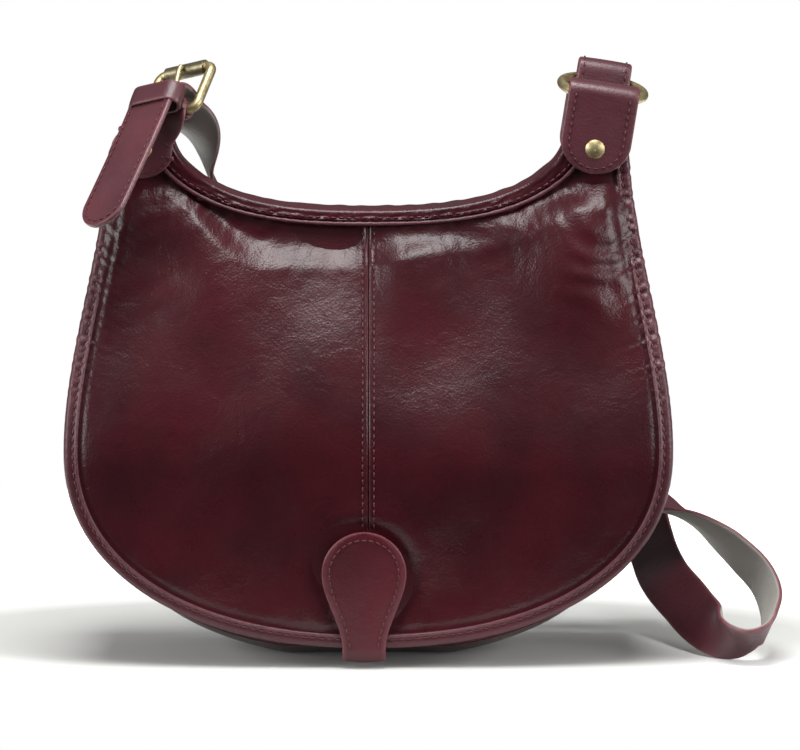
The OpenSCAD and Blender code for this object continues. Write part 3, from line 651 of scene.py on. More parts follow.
@dataclass(frozen=True)
class BagShape:
    """Outlines and depths of the bag, as its pattern gives them."""

    half_width: float = 140.0
    horn_height: float = 244.0
    wide_height: float = 100.0
    half_base: float = 40.0
    half_horn: float = 5.0
    dip_height: float = 206.5
    dip_half_width: float = 88.0
    shoulder_in: float = 19.5
    body_inset: float = 4.0
    mouth_height: float = 150.0
    mouth_dip: float = 10.0
    base_sag: float = 3.0
    leather: float = 2.0
    lining: float = 1.0
    seam: float = 0.3
    swell: float = 7.0
    flap_height: float = 9.0
    bend_height: float = 198.5
    standoff_low: float = 5.5
    standoff_high: float = 0.5
    horn_flat: float = 222.2
    horn_round: float = 13.0
    front_rise: float = 9.0
    horn_slim: float = 4.5
    slim_from: float = 216.0

    def side_x(self, z: Array, inset: float = 0.0) -> Array:
        """Half width: the widest place less the shoulder's smoothstep over 0.58 of the horns.

        The horn's outer corner is an arc.
        """
        slope = smooth((z - self.wide_height) / (self.horn_height * 0.58))
        corner = np.clip((z - self.horn_height + self.horn_round) / self.horn_round, 0, 1)
        arc = self.horn_round * (1 - np.sqrt(1 - corner**2))
        return self.half_width - inset - self.shoulder_in * slope - arc

    def drawn_up(self, points: Array) -> Array:
        """Points of the body, whose lower front edge is drawn up by the closed flap.

        The rise is full at the front seam, none behind the middle, and fades up to the
        widest height.
        """
        rise = self.front_rise * smooth((-points[..., 1] - 2.0) / (self.half_base - 2.0))
        fade = np.clip(1 - points[..., 2] / self.wide_height, 0, 1)
        return points + np.stack([0 * rise, 0 * rise, rise * fade], axis=-1)

    def lobe(self, u: Array, inset: float, low: float) -> Pair:
        """Lower outline: a superellipse of exponent 2.2 from side (-1) to side (1)."""
        angle = np.radians(90.0 * u)
        x = (self.half_width - inset) * signed_power(np.sin(angle), 2 / 2.2)
        z = self.wide_height - (self.wide_height - low) * signed_power(np.cos(angle), 2 / 2.2)
        return x, z

    def body_lobe(self, u: Array, inset: float) -> Pair:
        """The body's lobe, which sags a little and is cut flat by the table."""
        x, z = self.lobe(u, inset, inset - self.body_inset - self.base_sag)
        return x, np.maximum(inset - self.body_inset, z)

    def dip(self, t: Array, inset: float = 0.0) -> Pair:
        """Upper outline between the horns: a superellipse of exponent 2.5."""
        angle = np.radians(90.0 * t)
        x = (self.dip_half_width + inset) * signed_power(np.sin(angle), 0.8)
        z = self.horn_height - inset - (self.horn_height - self.dip_height) * signed_power(np.cos(angle), 0.8)
        slim = self.horn_slim * smooth((z - self.slim_from) / (self.horn_height - self.slim_from))
        return x + np.sign(x) * slim, z

    def top_edge(self, u: Array, inset: float, edge: float) -> Pair:
        """The dip over three quarters of the way, and the flat horn tops beside it.

        Args:
            u: Place across, -1 to 1.
            inset: Distance of the horns' sides inside the bag's outline.
            edge: Distance below the dip and the horns' tops.

        Returns:
            The edge's x and z.
        """
        dip_x, dip_z = self.dip(np.clip(u / 0.75, -1, 1), edge)
        share = np.clip((np.abs(u) - 0.75) / 0.25, 0, 1)
        outer = self.side_x(np.asarray(self.horn_height - edge), inset)
        flat_x = np.sign(u) * mix(self.dip_half_width + self.horn_slim + edge, outer, share)
        inside = np.abs(u) < 0.75
        return np.where(inside, dip_x, flat_x), np.where(inside, dip_z, self.horn_height - edge)

    def edge_x(self, z: Array) -> Array:
        """Half width of the whole outline at a height."""
        below = np.clip((self.wide_height - z) / (self.wide_height - self.flap_height), 0, 1)
        lobe_x = self.half_width * (1 - below**2.2) ** (1 / 2.2)
        return np.where(z >= self.wide_height, self.side_x(z), lobe_x)

    def half_depth(self, z: Array) -> Array:
        """Half of the gusset's depth: deep below, and drawn in to the flat horns."""
        start = self.horn_height * 0.37
        return mix(self.half_base, self.half_horn, smooth((z - start) / (self.horn_flat - start)))

    def lift(self, z: Array) -> Array:
        """Share of the swell at a height: none at the lower edge and at the bend."""
        rise = smooth((z - self.flap_height) / (self.wide_height - self.flap_height))
        return rise * (1 - smooth((z - self.wide_height) / (self.bend_height - self.wide_height)))

    def swell_at(self, x: Array, z: Array) -> Array:
        """Swell of a panel: its height times 1 less the square of x over the half width."""
        width = np.maximum(self.edge_x(z), 1e-6)
        return self.swell * self.lift(z) * np.maximum(0, 1 - (x / width) ** 2)

    def panel_y(self, x: Array, z: Array) -> Array:
        """Depth of the front panel's inner face."""
        return self.half_depth(z) + self.seam + self.swell_at(x, z)

    def back_y(self, x: Array, z: Array) -> Array:
        """Depth of the back panel's inner face."""
        return self.half_depth(z) + self.seam + 0.6 * self.swell_at(x, z)

    def lining_y(self, x: Array, z: Array) -> Array:
        """Depth of the flap lining's inner face: it stands off the front panel."""
        share = np.clip((z - self.flap_height) / (self.bend_height - self.flap_height), 0, 1)
        standoff = mix(self.standoff_low, self.standoff_high, share)
        return self.panel_y(x, z) + self.leather + self.seam + standoff

    def flap_y(self, x: Array, z: Array) -> Array:
        """Depth of the flap leather's inner face."""
        return self.lining_y(x, z) + self.lining + self.seam

    def head_y(self, x: Array, z: Array) -> Array:
        """Depth of the fixed leather above the bend, which comes to rest on the horns."""
        rise = self.leather + self.lining + 2 * self.seam + self.standoff_high
        fall = smooth((z - self.bend_height) / (self.horn_flat - self.bend_height))
        return self.half_depth(z) + self.seam + rise * (1 - fall) + 0.0 * x

    def leather_y(self, x: Array, z: Array) -> Array:
        """Depth of the flap's inner face below the bend, and of the head's above it."""
        return np.where(z < self.bend_height, self.flap_y(x, z), self.head_y(x, z))

    def traced(self, inset: float, z: Array, lobe: Pair, count: int) -> Array:
        """Points (count, 2) at equal steps down the left side, round the lobe and up the right side."""
        x = np.concatenate([-self.side_x(z, inset), lobe[0][1:-1], self.side_x(z, inset)[::-1]])
        return resample(np.stack([x, np.concatenate([z, lobe[1][1:-1], z[::-1]])], axis=1), count)

    def outline(self, inset: float, top: float, low: float, count: int) -> Array:
        """The flap's outline from a height on the left, round its lobe, to the right."""
        lobe = self.lobe(np.linspace(-1, 1, 400), inset, low)
        return self.traced(inset, np.linspace(top, self.wide_height, 200), lobe, count)

    def body_line(self, inset: float, top: float, counts: tuple[int, int, int]) -> Pair:
        """The body's outline from a height on the left, round its lobe, to the right.

        Args:
            inset: Distance inside the bag's outline.
            top: Height of both ends.
            counts: Points read on a side and on the lobe, and points of the line.

        Returns:
            The line's points and its outward normals.
        """
        lobe = self.body_lobe(np.linspace(-1, 1, counts[1]), inset)
        line = self.traced(inset, np.linspace(top, self.wide_height, counts[0]), lobe, counts[2])
        return line, outward(line)


SHAPE = BagShape()


def patch(u: Array, v: Array, low: tuple, high: tuple, span: tuple, inset: float) -> Pair:
    """Coons patch between a lower and an upper edge, whose sides follow the bag's.

    A point is the blend of both edges by v, plus the blend of both sides by u, less the
    blend of the four corners by both.

    Args:
        u: Place across, -1 to 1.
        v: Place up, 0 to 1.
        low: Lower edge's x and z at u.
        high: Upper edge's x and z at u.
        span: Heights of the lower and the upper corners.
        inset: Distance of both sides inside the bag's outline.

    Returns:
        The points' x and z.
    """
    s = (u + 1) / 2
    side = SHAPE.side_x(mix(*span, v), inset)
    low_w, high_w = (SHAPE.side_x(np.asarray(height), inset) for height in span)
    corner_x = mix(mix(-low_w, low_w, s), mix(-high_w, high_w, s), v)
    return mix(low[0], high[0], v) + mix(-side, side, s) - corner_x, mix(low[1], high[1], v)


class EdgeMap:
    """Distance and place along the flap's outline for any point in it.

    The outline is read by its angle round the middle of the widest line: the distance is
    the radius left over times the cosine between the radius and the outline's normal.
    """

    def __init__(self) -> None:
        """Tabulates the outline by angle."""
        line = SHAPE.outline(0.0, SHAPE.horn_height, SHAPE.flap_height, 1200)
        offset = line - [0.0, SHAPE.wide_height]
        self.angle = np.unwrap(np.arctan2(offset[:, 1], offset[:, 0]))
        self.radius = np.linalg.norm(offset, axis=1)
        self.lean = np.abs((outward(line) * offset).sum(axis=1)) / self.radius
        steps = np.linalg.norm(np.diff(line, axis=0), axis=1)
        self.place = np.concatenate([[0.0], np.cumsum(steps)])
        self.length = float(self.place[-1])

    def look_up(self, x: Array, z: Array) -> Pair:
        """Distance inside the outline, and place along it from the left horn, both in mm."""
        offset_z = z - SHAPE.wide_height
        angle = np.arctan2(offset_z, x)
        start = self.angle[0]
        angle = np.where(angle < start - 0.35, angle + 2 * math.pi, angle)
        reach = np.interp(angle, self.angle, self.radius)
        lean = np.interp(angle, self.angle, self.lean)
        place = np.interp(angle, self.angle, self.place)
        distance = (reach - np.hypot(x, offset_z)) * lean
        between = (angle < start) | (angle > self.angle[-1])
        return np.where(between, np.maximum(distance, SHAPE.half_width), distance), place


EDGE = EdgeMap()


# Stitches


class StitchWork:
    """Rows of thread stitches, gathered into one piece."""

    def __init__(self, pitch: float = 3.9, radius: float = 0.42, share: float = 0.72) -> None:
        """Sets the stitch spacing, the thread's radius and each stitch's share of the spacing."""
        self.pitch = pitch
        self.radius = radius
        self.share = share
        self.rows: list[Array] = []

    def sew(self, points: Array, normals: Array, pitch: float | None = None) -> None:
        """Adds a row along a line that lies on a surface.

        Each stitch is a capsule of seven hexagons that rises from the leather at one
        needle hole, lies proud in its middle and dips into the next.

        Args:
            points: Line on the surface (n, 3).
            normals: Outward normals there (n, 3).
            pitch: Spacing, if it differs from the work's own.
        """
        steps = np.linalg.norm(np.diff(points, axis=0), axis=1)
        at = np.concatenate([[0.0], np.cumsum(steps)])
        count = max(1, round(float(at[-1]) / (pitch or self.pitch)))
        step = at[-1] / count
        along = np.array([-1.0, -0.9, -0.6, 0.0, 0.6, 0.9, 1.0]) * self.share * step / 2
        wanted = (np.arange(count) + 0.5)[:, None] * step + along[None, :]
        middle = np.stack([np.interp(wanted, at, points[:, k]) for k in range(3)], axis=-1)
        normal = unit(np.stack([np.interp(wanted, at, normals[:, k]) for k in range(3)], axis=-1))
        run = unit(middle[:, -1:] - middle[:, :1])
        side = unit(np.cross(normal, run))
        thick = self.radius * np.array([0.2, 0.65, 0.95, 1.0, 0.95, 0.65, 0.2])
        lift = self.radius * np.array([-0.7, 0.0, 0.5, 0.65, 0.5, 0.0, -0.7])
        angle = np.arange(6) * math.pi / 3
        round_up = (lift[:, None] + thick[:, None] * np.sin(angle))[None, :, :, None] * normal[:, :, None, :]
        round_side = (thick[:, None] * np.cos(angle))[None, :, :, None] * side[:, :, None, :]
        self.rows.append((middle[:, :, None, :] + round_up + round_side).reshape(count, 42, 3))

    def build(self, name: str) -> bpy.types.Object:
        """Makes one object of all the rows sewn so far."""
        stitches = np.concatenate(self.rows)
        first = np.arange(len(stitches)) * 42
        quads = grid_quads(7, 6, close_columns=True)
        caps = np.stack([np.arange(6)[::-1], np.arange(36, 42)])
        blocks = [(faces[None] + first[:, None, None]).reshape(-1, faces.shape[1]) for faces in (quads, caps)]
        return make_piece(name, stitches.reshape(-1, 3), blocks, Finish.THREAD)


def facing_normals(depth: Depth, x: Array, z: Array, facing: int = -1) -> Array:
    """Outward normals of a surface whose y is the depth times facing.

    The normal is (-f_x, 1, -f_z) turned to the side it faces, with the slopes taken over
    a fifth of a millimetre each way.

    Args:
        depth: Depth at x and z.
        x: Places.
        z: Heights.
        facing: -1 for the front, 1 for the back.

    Returns:
        Unit normals (..., 3).
    """
    step = 0.2
    slope_x = (depth(x + step, z) - depth(x - step, z)) / (2 * step)
    slope_z = (depth(x, z + step) - depth(x, z - step)) / (2 * step)
    return unit(np.stack([-slope_x, np.full_like(slope_x, float(facing)), -slope_z], axis=-1))


def on_depth(depth: Depth, x: Array, z: Array, facing: int = -1) -> Array:
    """Points (..., 3) at the places x, z on a surface of that depth."""
    return np.stack([x, facing * depth(x, z), z], axis=-1)


# Bands of leather


@dataclass
class Band:
    """A strip of leather carried along a line, with rounded and burnished edges.

    The outer face is on the side of run x across. The section is a rounded rectangle,
    whose outer face may be crowned.
    """

    line: Array
    across: Array
    half: Array
    thick: float
    crown: float = 0.0
    closed: bool = False
    flip: bool = False
    run: Array = field(init=False)
    side: Array = field(init=False)
    up: Array = field(init=False)

    def __post_init__(self) -> None:
        """Works out the directions along, across and out of the band at each station."""
        if self.closed:
            run = np.roll(self.line, -1, axis=0) - np.roll(self.line, 1, axis=0)
        else:
            run = np.gradient(self.line, axis=0)
        self.run = unit(run)
        across = np.broadcast_to(self.across, self.line.shape)
        self.side = unit(across - self.run * (across * self.run).sum(axis=1, keepdims=True))
        self.up = np.cross(self.run, self.side) * (-1.0 if self.flip else 1.0)

    def rings(self) -> tuple[Array, Array, Array, Array]:
        """Points (n, m, 3), with each point's place, wear and flesh side.

        The section runs out along the inner face, round one edge, back along the outer
        face and round the other edge. Edges are arcs of 0.8 of half the thickness.
        """
        arc = np.radians(np.linspace(-90, 90, 6))
        flat = np.linspace(-1, 1, 11)[1:-1]
        radius = np.minimum(0.4 * self.thick, 0.7 * self.half)[:, None]
        inner_w = flat[None, :] * (self.half[:, None] - radius)
        edge_w = self.half[:, None] - radius + radius * np.cos(arc)[None, :]
        edge_h = np.broadcast_to(np.sin(arc)[None, :], edge_w.shape)
        w = np.concatenate([inner_w, edge_w, inner_w[:, ::-1], -edge_w[:, ::-1]], axis=1)
        h = np.concatenate([-np.ones_like(inner_w), edge_h, np.ones_like(inner_w), edge_h[:, ::-1]], axis=1)
        share = np.abs(w) / np.maximum(self.half[:, None], 1e-6)
        height = h * self.thick / 2 + self.crown * np.maximum(h, 0) * (1 - share**2)
        points = self.line[:, None] + w[..., None] * self.side[:, None] + height[..., None] * self.up[:, None]
        from_edge = self.half[:, None] - np.abs(w)
        wear_and_highlight = np.clip(1.0 - np.abs(h), 0, 1) + 0.55 * bump(from_edge, 0.9) * (h > 0)
        steps = np.concatenate([[0.0], np.cumsum(np.linalg.norm(np.diff(self.line, axis=0), axis=1))])
        place = np.stack([np.broadcast_to(steps[:, None], w.shape), w + 0.0 * h], axis=-1)
        return points, place, np.clip(wear_and_highlight, 0, 1), (h < -0.5).astype(float)

    def build(self, name: str, finish: Finish, flesh: bool = False) -> bpy.types.Object:
        """Makes the band's object.

        Args:
            name: Object name.
            finish: Finish.
            flesh: Whether the inner face shows the leather's flesh side.

        Returns:
            The new object.
        """
        points, place, wear_and_highlight, underside = self.rings()
        flat, faces = ring_mesh(points, self.closed)
        return make_piece(
            name,
            flat,
            faces,
            finish,
            place.reshape(-1, 2),
            wear_and_highlight.ravel(),
            underside.ravel() if flesh else None,
        )

    def row(self, offset: float, start: float, end: float) -> Pair:
        """A stitch line on the outer face.

        Args:
            offset: Signed distance from the middle line.
            start: Share of the length where the row starts.
            end: Share of the length where it ends.

        Returns:
            Points and outward normals.
        """
        n = len(self.line)
        i = np.arange(int(start * (n - 1)), int(end * (n - 1)) + 1)
        share = np.abs(offset) / np.maximum(self.half[i], 1e-6)
        rise = self.thick / 2 + self.crown * np.maximum(0, 1 - share**2)
        return self.line[i] + offset * self.side[i] + self.up[i] * rise[:, None], self.up[i]


def round_end_row(band: Band, margin: float, centre: int, radius: float, start: int) -> Pair:
    """A stitch line that goes round a band's round end, a margin inside its edge.

    Args:
        band: The band.
        margin: Distance inside the edge.
        centre: Station at the middle of the round end.
        radius: Radius of the round end.
        start: Station where the straight rows on both sides begin.

    Returns:
        Points and outward normals.
    """
    direction = 1 if start > centre else -1
    angle = np.radians(np.linspace(-90, 90, 60))
    reach = radius - margin
    straight = np.arange(start, centre, -direction)
    middle, up, side = band.line[centre], band.up[centre], band.side[centre]
    run = band.run[centre] * -direction
    rise = band.thick / 2 + band.crown * (1 - (reach / radius) ** 2)
    one = band.line[straight] - band.side[straight] * reach + band.up[straight] * rise
    end = middle + np.sin(angle)[:, None] * reach * side + np.cos(angle)[:, None] * reach * run + up * rise
    other = band.line[straight] + band.side[straight] * reach + band.up[straight] * rise
    points = np.concatenate([one, end, other[::-1]])
    normals = np.concatenate([band.up[straight], np.broadcast_to(up, end.shape), band.up[straight][::-1]])
    return points, normals


# The flap


@dataclass(frozen=True)
class TabShape:
    """The closing tab's outline: a round head on a narrower neck."""

    width: float = 39.0
    neck: float = 20.0
    top: float = 64.0
    thick: float = 1.8
    gap: float = 1.2
    tail: float = 20.0
    low: float = 3.5
    shift: float = -2.0

    def half(self, z: Array) -> Array:
        """Half width: a circle above its middle, and a smoothstep down to the neck below."""
        radius = self.width / 2
        middle = self.top - radius
        head = np.sqrt(np.maximum(0, radius**2 - (z - middle) ** 2))
        body = mix(self.neck / 2, radius, smooth((z - SHAPE.flap_height) / (middle - SHAPE.flap_height)))
        return np.where(z > middle, head, body)

    def distance(self, x: Array, z: Array) -> Array:
        """Distance outside the tab's outline, negative inside it."""
        radius = self.width / 2
        middle = self.top - radius
        x = x - self.shift
        return np.where(z > middle, np.hypot(x, z - middle) - radius, np.abs(x) - self.half(z))


TAB = TabShape()


@dataclass
class FlapSkin:
    """The flap's outer leather, from the lower edge over the bend to the horns and the dip."""

    inset: float = 1.2
    seam_half: float = 2.6
    stitch_pitch: float = 3.5
    puff: float = 6.0

    def gathers(self, place: Array, z: Array) -> Array:
        """Height of the cross gathers beside the binding: three waves of about 4 to 9 mm.

        They are strong on both upper sides and faint round the lower edge.
        """
        wave = np.sin(place * 2 * math.pi / 5.6 + 1.1 * np.sin(place / 11.0))
        wave = wave + 0.7 * np.sin(place * 2 * math.pi / 3.9 + 0.6) + 0.5 * np.sin(place * 2 * math.pi / 9.1)
        strong = smooth((z - 105) / 50) * (1 - smooth((z - 228) / 10))
        return wave * mix(0.10, 1.0, strong) * np.where(place > EDGE.length / 2, 1.0, 0.8)

    def depth(self, x: Array, z: Array) -> Array:
        """Depth of the outer face, with what sewing and wear have done to it.

        Base depth plus: soft hollows some centimetres long; the puff and the long folds
        under the top seam; the groove and the pulled-in rows at the middle seam; fine
        wrinkles that hang from the top seam and fade over a few centimetres; gathers beside
        the binding, bunched towards the horns; and the dent that the tab presses.
        """
        base = SHAPE.leather_y(x, z) + SHAPE.leather
        distance, place = EDGE.look_up(x, z)
        hollows = ripple(x, z, 92.0, 5) + 0.1 * ripple(x, z, 33.0, 11)
        calm = smooth(distance / 26.0) * (1 - smooth((z - 205) / 25))
        middle = -0.28 * bump(x, 0.55) - 0.22 * bump(np.abs(x) - self.seam_half, 0.6)
        middle = (middle + 0.2 * bump(np.abs(x) - 1.3, 0.7)) * smooth((z - 61) / 4)
        below = self.below_dip(x, z)
        crest = below - 4.0 - 5.0 * ripple(x, 0.3 * z, 74.0, 23)
        puff = self.puff * (1 + 0.3 * ripple(x, 0 * z, 58.0, 29)) * smooth((crest - 5.0) / 15.0)
        puff = puff * (1 - smooth((crest - 22.0) / 62.0))
        puff = puff * (1 - smooth((z - 208) / 16))
        folds = 0.9 * ripple(x + 0.3 * z, 0.4 * z, 38.0, 17) * np.exp(-np.maximum(below - 6.0, 0) / 26.0)
        calm_puff = puff * smooth(distance / 14.0) * (1 - 0.35 * bump(x, 9.0))
        folds = folds * smooth((below - 5.0) / 9.0) * smooth(distance / 14.0) * (1 - smooth((z - 212) / 14))
        hang = np.exp(-np.maximum(below - 3.0, 0) / 15.0) * (1 - smooth((np.abs(x) - 108) / 8))
        slant = x + 0.22 * np.sign(x) * (z - 200)
        wrinkles = 0.17 * np.sin(slant * 2 * math.pi / 7.3 + 1.6 * np.sin(x / 9.0 + z / 7.0))
        wrinkles = wrinkles + 0.12 * ripple(slant * 1.7, z * 0.8, 6.2, 21)
        wrinkles = wrinkles + 0.16 * ripple(x, z * 2.0, 17.0, 23)
        side = 0.2 * self.gathers(place, z) * np.exp(-np.maximum(distance - 5.0, 0) / 7.0)
        valley = -0.5 * bump(distance - 8.2, 1.6)
        bunched = smooth((np.abs(x) - 80) / 22) * smooth((z - 148) / 25) * (1 - smooth((z - 216) / 12))
        bunched = bunched * smooth((distance - 4.0) / 6.0) * np.where(x > 0, 0.34, 0.2)
        slope = 2 * math.pi * (z + 0.45 * np.abs(x)) / 13.0
        side = side + bunched * np.sin(slope + 1.2 * ripple(x, z, 47.0, 37))
        tab = TAB.distance(x, z)
        dent = -1.2 * bump(np.maximum(tab, 0), 4.2) + 1.1 * smooth(-tab / 3.0) + 0.5 * bump(tab - 9.0, 4.0)
        dent = dent * smooth((z - 12) / 10)
        return base + calm * hollows + calm_puff + folds + middle + wrinkles * hang + side + valley + dent

    @staticmethod
    def below_dip(x: Array, z: Array) -> Array:
        """Shortest distance to the dip's outline, read from 120 points of it."""
        dip_x, dip_z = SHAPE.dip(np.linspace(0, 1, 120))
        return np.hypot(np.abs(x)[..., None] - dip_x, z[..., None] - dip_z).min(axis=-1)

    def bend_edge(self, u: Array) -> tuple[Array, float]:
        """Places of the bend's line across the flap."""
        side = SHAPE.side_x(np.asarray(SHAPE.bend_height), self.inset)
        return side * np.sin(np.radians(90 * u)), SHAPE.bend_height

    def below_bend(self, u: Array, v: Array) -> Pair:
        """Places x and z of a grid from the flap's lobe to its bend."""
        low = SHAPE.lobe(u, self.inset, SHAPE.flap_height + self.inset)
        return patch(u, v, low, self.bend_edge(u), (SHAPE.wide_height, SHAPE.bend_height), self.inset)

    def grid(self, side: int) -> Pair:
        """Places x and z of one half's grid, closer together near the middle seam.

        The lower patch runs from the lobe to the bend, and the upper one from the bend to
        the top edge.
        """
        near = np.cumsum(np.concatenate([[0.0008], np.geomspace(0.0012, 0.007, 12)]))
        u = side * np.concatenate([near, np.linspace(near[-1], 1, 130)[1:]])[:, None]
        below = self.below_bend(u, np.linspace(0, 1, 130)[None, :])
        v = np.linspace(0, 1, 34)[None, 1:]
        span = (SHAPE.bend_height, SHAPE.horn_height)
        above = patch(u, v, self.bend_edge(u), SHAPE.top_edge(u, self.inset, 0.0), span, self.inset)
        return np.concatenate([below[0], above[0]], axis=1), np.concatenate([below[1], above[1]], axis=1)

    def build(self, side: int, name: str) -> bpy.types.Object:
        """Makes one half of the skin as a shell 2 mm thick."""
        x, z = self.grid(side)
        outer = on_depth(self.depth, x, z)
        inner = on_depth(lambda a, b: SHAPE.leather_y(a, b) + 0.05, x, z)
        points, faces = shell_mesh(outer, inner)
        wear_and_highlight = 0.22 * bump(np.abs(x), 0.9) * (z > 60)
        both = np.concatenate([wear_and_highlight, np.zeros_like(wear_and_highlight)], axis=1)
        place = np.stack([np.concatenate([a, a[:, ::-1]], axis=1) for a in (x, z)], axis=-1)
        return make_piece(name, points, faces, Finish.BODY, place.reshape(-1, 2), both.ravel())

    def sew(self, work: StitchWork) -> None:
        """Sews the double topstitch down the middle seam."""
        z = np.linspace(202.0, 64.5, 400)
        for side in (-1, 1):
            x = np.full_like(z, side * self.seam_half)
            work.sew(on_depth(self.depth, x, z), facing_normals(self.depth, x, z), self.stitch_pitch)


@dataclass
class EdgeBinding:
    """The leather binding folded round the flap's edge and up both horns."""

    skin: FlapSkin
    width: float = 5.5
    wall: float = 0.9
    fit: float = 0.2
    stitch_in: float = 3.1
    count: int = 1000

    def line(self) -> tuple[Array, Array, Array]:
        """Edge points (n, 2), outward normals (n, 2) and places along the outline (n)."""
        inset = self.skin.inset
        line = SHAPE.outline(inset, SHAPE.horn_height, SHAPE.flap_height + inset, self.count)
        _, place = EDGE.look_up(line[:, 0], line[:, 1])
        return line, outward(line), place

    def front(self, line: Array, normal: Array, place: Array, out: Array) -> Array:
        """Depth of the front face.

        The leather's depth plus the wall, a raised bead at the inner lip, a shallow valley
        along the stitches and the gathers.

        Args:
            line: Edge points (n, 2).
            normal: Their outward normals (n, 2).
            place: Their places along the outline (n).
            out: Distances out from the edge (n, m).

        Returns:
            Depths (n, m).
        """
        x, z = beside(line, normal, out)
        base = SHAPE.leather_y(x, z) + SHAPE.leather + self.fit + self.wall
        bead = 0.42 * bump(out + self.width - 0.75, 0.7) - 0.28 * bump(out + self.stitch_in, 0.6)
        folds = 0.25 * self.skin.gathers(place, line[:, 1])[:, None]
        return base + bead + folds * smooth((out + self.width + 0.6) / 1.2)

    def back(self, line: Array, normal: Array, out: Array) -> Array:
        """Depth of the back face: round the lining on the flap, and flat on the horns."""
        x, z = beside(line, normal, out)
        flap = SHAPE.lining_y(x, z) - self.fit - self.wall
        horn = SHAPE.head_y(x, z) - self.fit - self.wall
        share = smooth((z - 193.0) / 10.0)
        return mix(flap, horn, share)

    def rings(self) -> Pair:
        """Rings (n, m, 3), and paleness (n, m) from edge wear and a painted highlight on the bead.

        Each ring rises at the inner lip, runs out along the front, turns round the edge as
        half an ellipse, and runs back along the back to its own lip.
        """
        line, normal, place = self.line()
        flat = np.concatenate([[-self.width - 0.1], np.linspace(-self.width + 0.12, -1.3, 14)])
        front_out = np.broadcast_to(flat, (len(line), len(flat)))
        front = self.front(line, normal, place, front_out)
        front[:, 0] -= self.wall + 0.25
        back_out = front_out[:, ::-1]
        back = self.back(line, normal, back_out)
        back[:, -1] += self.wall
        angle = np.radians(np.linspace(0, 180, 13)[1:-1])
        middle = (front[:, -1:] + back[:, :1]) / 2
        reach = (front[:, -1:] - back[:, :1]) / 2
        folds = 0.12 * self.skin.gathers(place, line[:, 1])[:, None]
        round_out = -1.3 + (2.35 + folds) * np.sin(angle)[None, :]
        round_depth = middle + reach * np.cos(angle)[None, :]
        out = np.concatenate([front_out, round_out, back_out], axis=1)
        depth = np.concatenate([front, round_depth, back], axis=1)
        x, z = beside(line, normal, out)
        # Paler leather: a painted highlight along the raised bead at the inner lip, wear round the folded
        # edge, and paler crests on the gathers.
        rub_and_highlight = 0.55 * bump(out + self.width - 0.75, 0.6) + 0.35 * smooth((out + 1.0) / 1.6)
        crest = 0.25 * np.clip(self.skin.gathers(place, line[:, 1])[:, None], 0, 1.5) * smooth((out + 6) / 3)
        return np.stack([x, -depth, z], axis=-1), np.clip(rub_and_highlight + crest, 0, 1)

    def build(self, name: str) -> bpy.types.Object:
        """Makes the binding's object."""
        rings, wear_and_highlight = self.rings()
        points, faces = ring_mesh(rings)
        return make_piece(name, points, faces, Finish.BINDING, None, wear_and_highlight.ravel())

    def sew(self, work: StitchWork) -> None:
        """Sews the row inside the binding's ridge."""
        line, normal, place = self.line()
        out = np.full((len(line), 1), -self.stitch_in)
        depth = self.front(line, normal, place, out)[:, 0]
        at = line - normal * self.stitch_in
        keep = at[:, 1] < 236
        points = np.stack([at[:, 0], -depth, at[:, 1]], axis=1)
        normals = facing_normals(SHAPE.leather_y, at[:, 0], at[:, 1])
        work.sew(points[keep], normals[keep], 4.0)


@dataclass
class ClosingTab:
    """The teardrop tab: down the flap's front, under its lower edge and up behind it."""

    crown: float = 0.9
    margin: float = 3.6

    def band(self) -> Band:
        """The tab as a band from its round top to its tail."""
        shape, low = TAB, SHAPE.flap_height
        turn = np.linspace(0, 1, 90)
        z = low + (shape.top - low - 0.05) * np.cos(turn * math.pi / 2) ** 0.62
        z = np.unique(np.concatenate([z, np.linspace(low, shape.top - 0.3, 60)]))[::-1]
        front = SHAPE.flap_y(0 * z, z) + SHAPE.leather + shape.gap + shape.thick / 2
        lines = [np.stack([shape.shift + 0 * z, -front, z], axis=1)]
        halves = [shape.half(z)]
        back_y = float(SHAPE.lining_y(np.asarray(0.0), np.asarray(low)) - shape.gap - shape.thick / 2)
        front_y = float(front[-1])
        angle = np.radians(np.linspace(0, 180, 26)[1:-1])
        fall = low - shape.low - shape.thick / 2
        middle, reach = -(front_y + back_y) / 2, (front_y - back_y) / 2
        fold_y, fold_z = middle - reach * np.cos(angle), low - fall * np.sin(angle)
        fold = np.stack([shape.shift + 0 * angle, fold_y, fold_z], axis=1)
        tail_z = np.linspace(low, shape.tail, 12)
        tail_y = SHAPE.lining_y(0 * tail_z, tail_z) - shape.gap - shape.thick / 2
        lines += [fold, np.stack([shape.shift + 0 * tail_z, -tail_y, tail_z], axis=1)]
        halves += [np.full(len(fold), shape.neck / 2), np.full(len(tail_z), shape.neck / 2)]
        across = np.array([1.0, 0, 0])
        return Band(np.concatenate(lines), across, np.concatenate(halves), shape.thick, self.crown)

    def build(self, name: str) -> bpy.types.Object:
        """Makes the tab's object."""
        return self.band().build(name, Finish.TAB)

    def sew(self, work: StitchWork) -> None:
        """Sews the row a margin inside the tab's edge, down one side, round the head and back."""
        z = np.concatenate([np.linspace(9.5, 44.5, 80), [44.5]])
        reach = TAB.half(z) - self.margin
        angle = np.radians(np.linspace(-90, 90, 80))[1:-1]
        radius = TAB.width / 2 - self.margin
        middle = TAB.top - TAB.width / 2
        x = np.concatenate([-reach, radius * np.sin(angle), reach[::-1]])
        height = np.concatenate([z, middle + radius * np.cos(angle), z[::-1]])
        half = np.maximum(TAB.half(height), 1.0)
        flat = SHAPE.flap_y(0 * x, height) + SHAPE.leather + TAB.gap + TAB.thick
        depth = flat + self.crown * (1 - np.clip(np.abs(x) / half, 0, 1) ** 2)
        points = np.stack([x + TAB.shift, -depth, height], axis=1)
        normals = facing_normals(lambda a, b: SHAPE.flap_y(0 * a, b), x, height)
        work.sew(points, normals, 3.3)


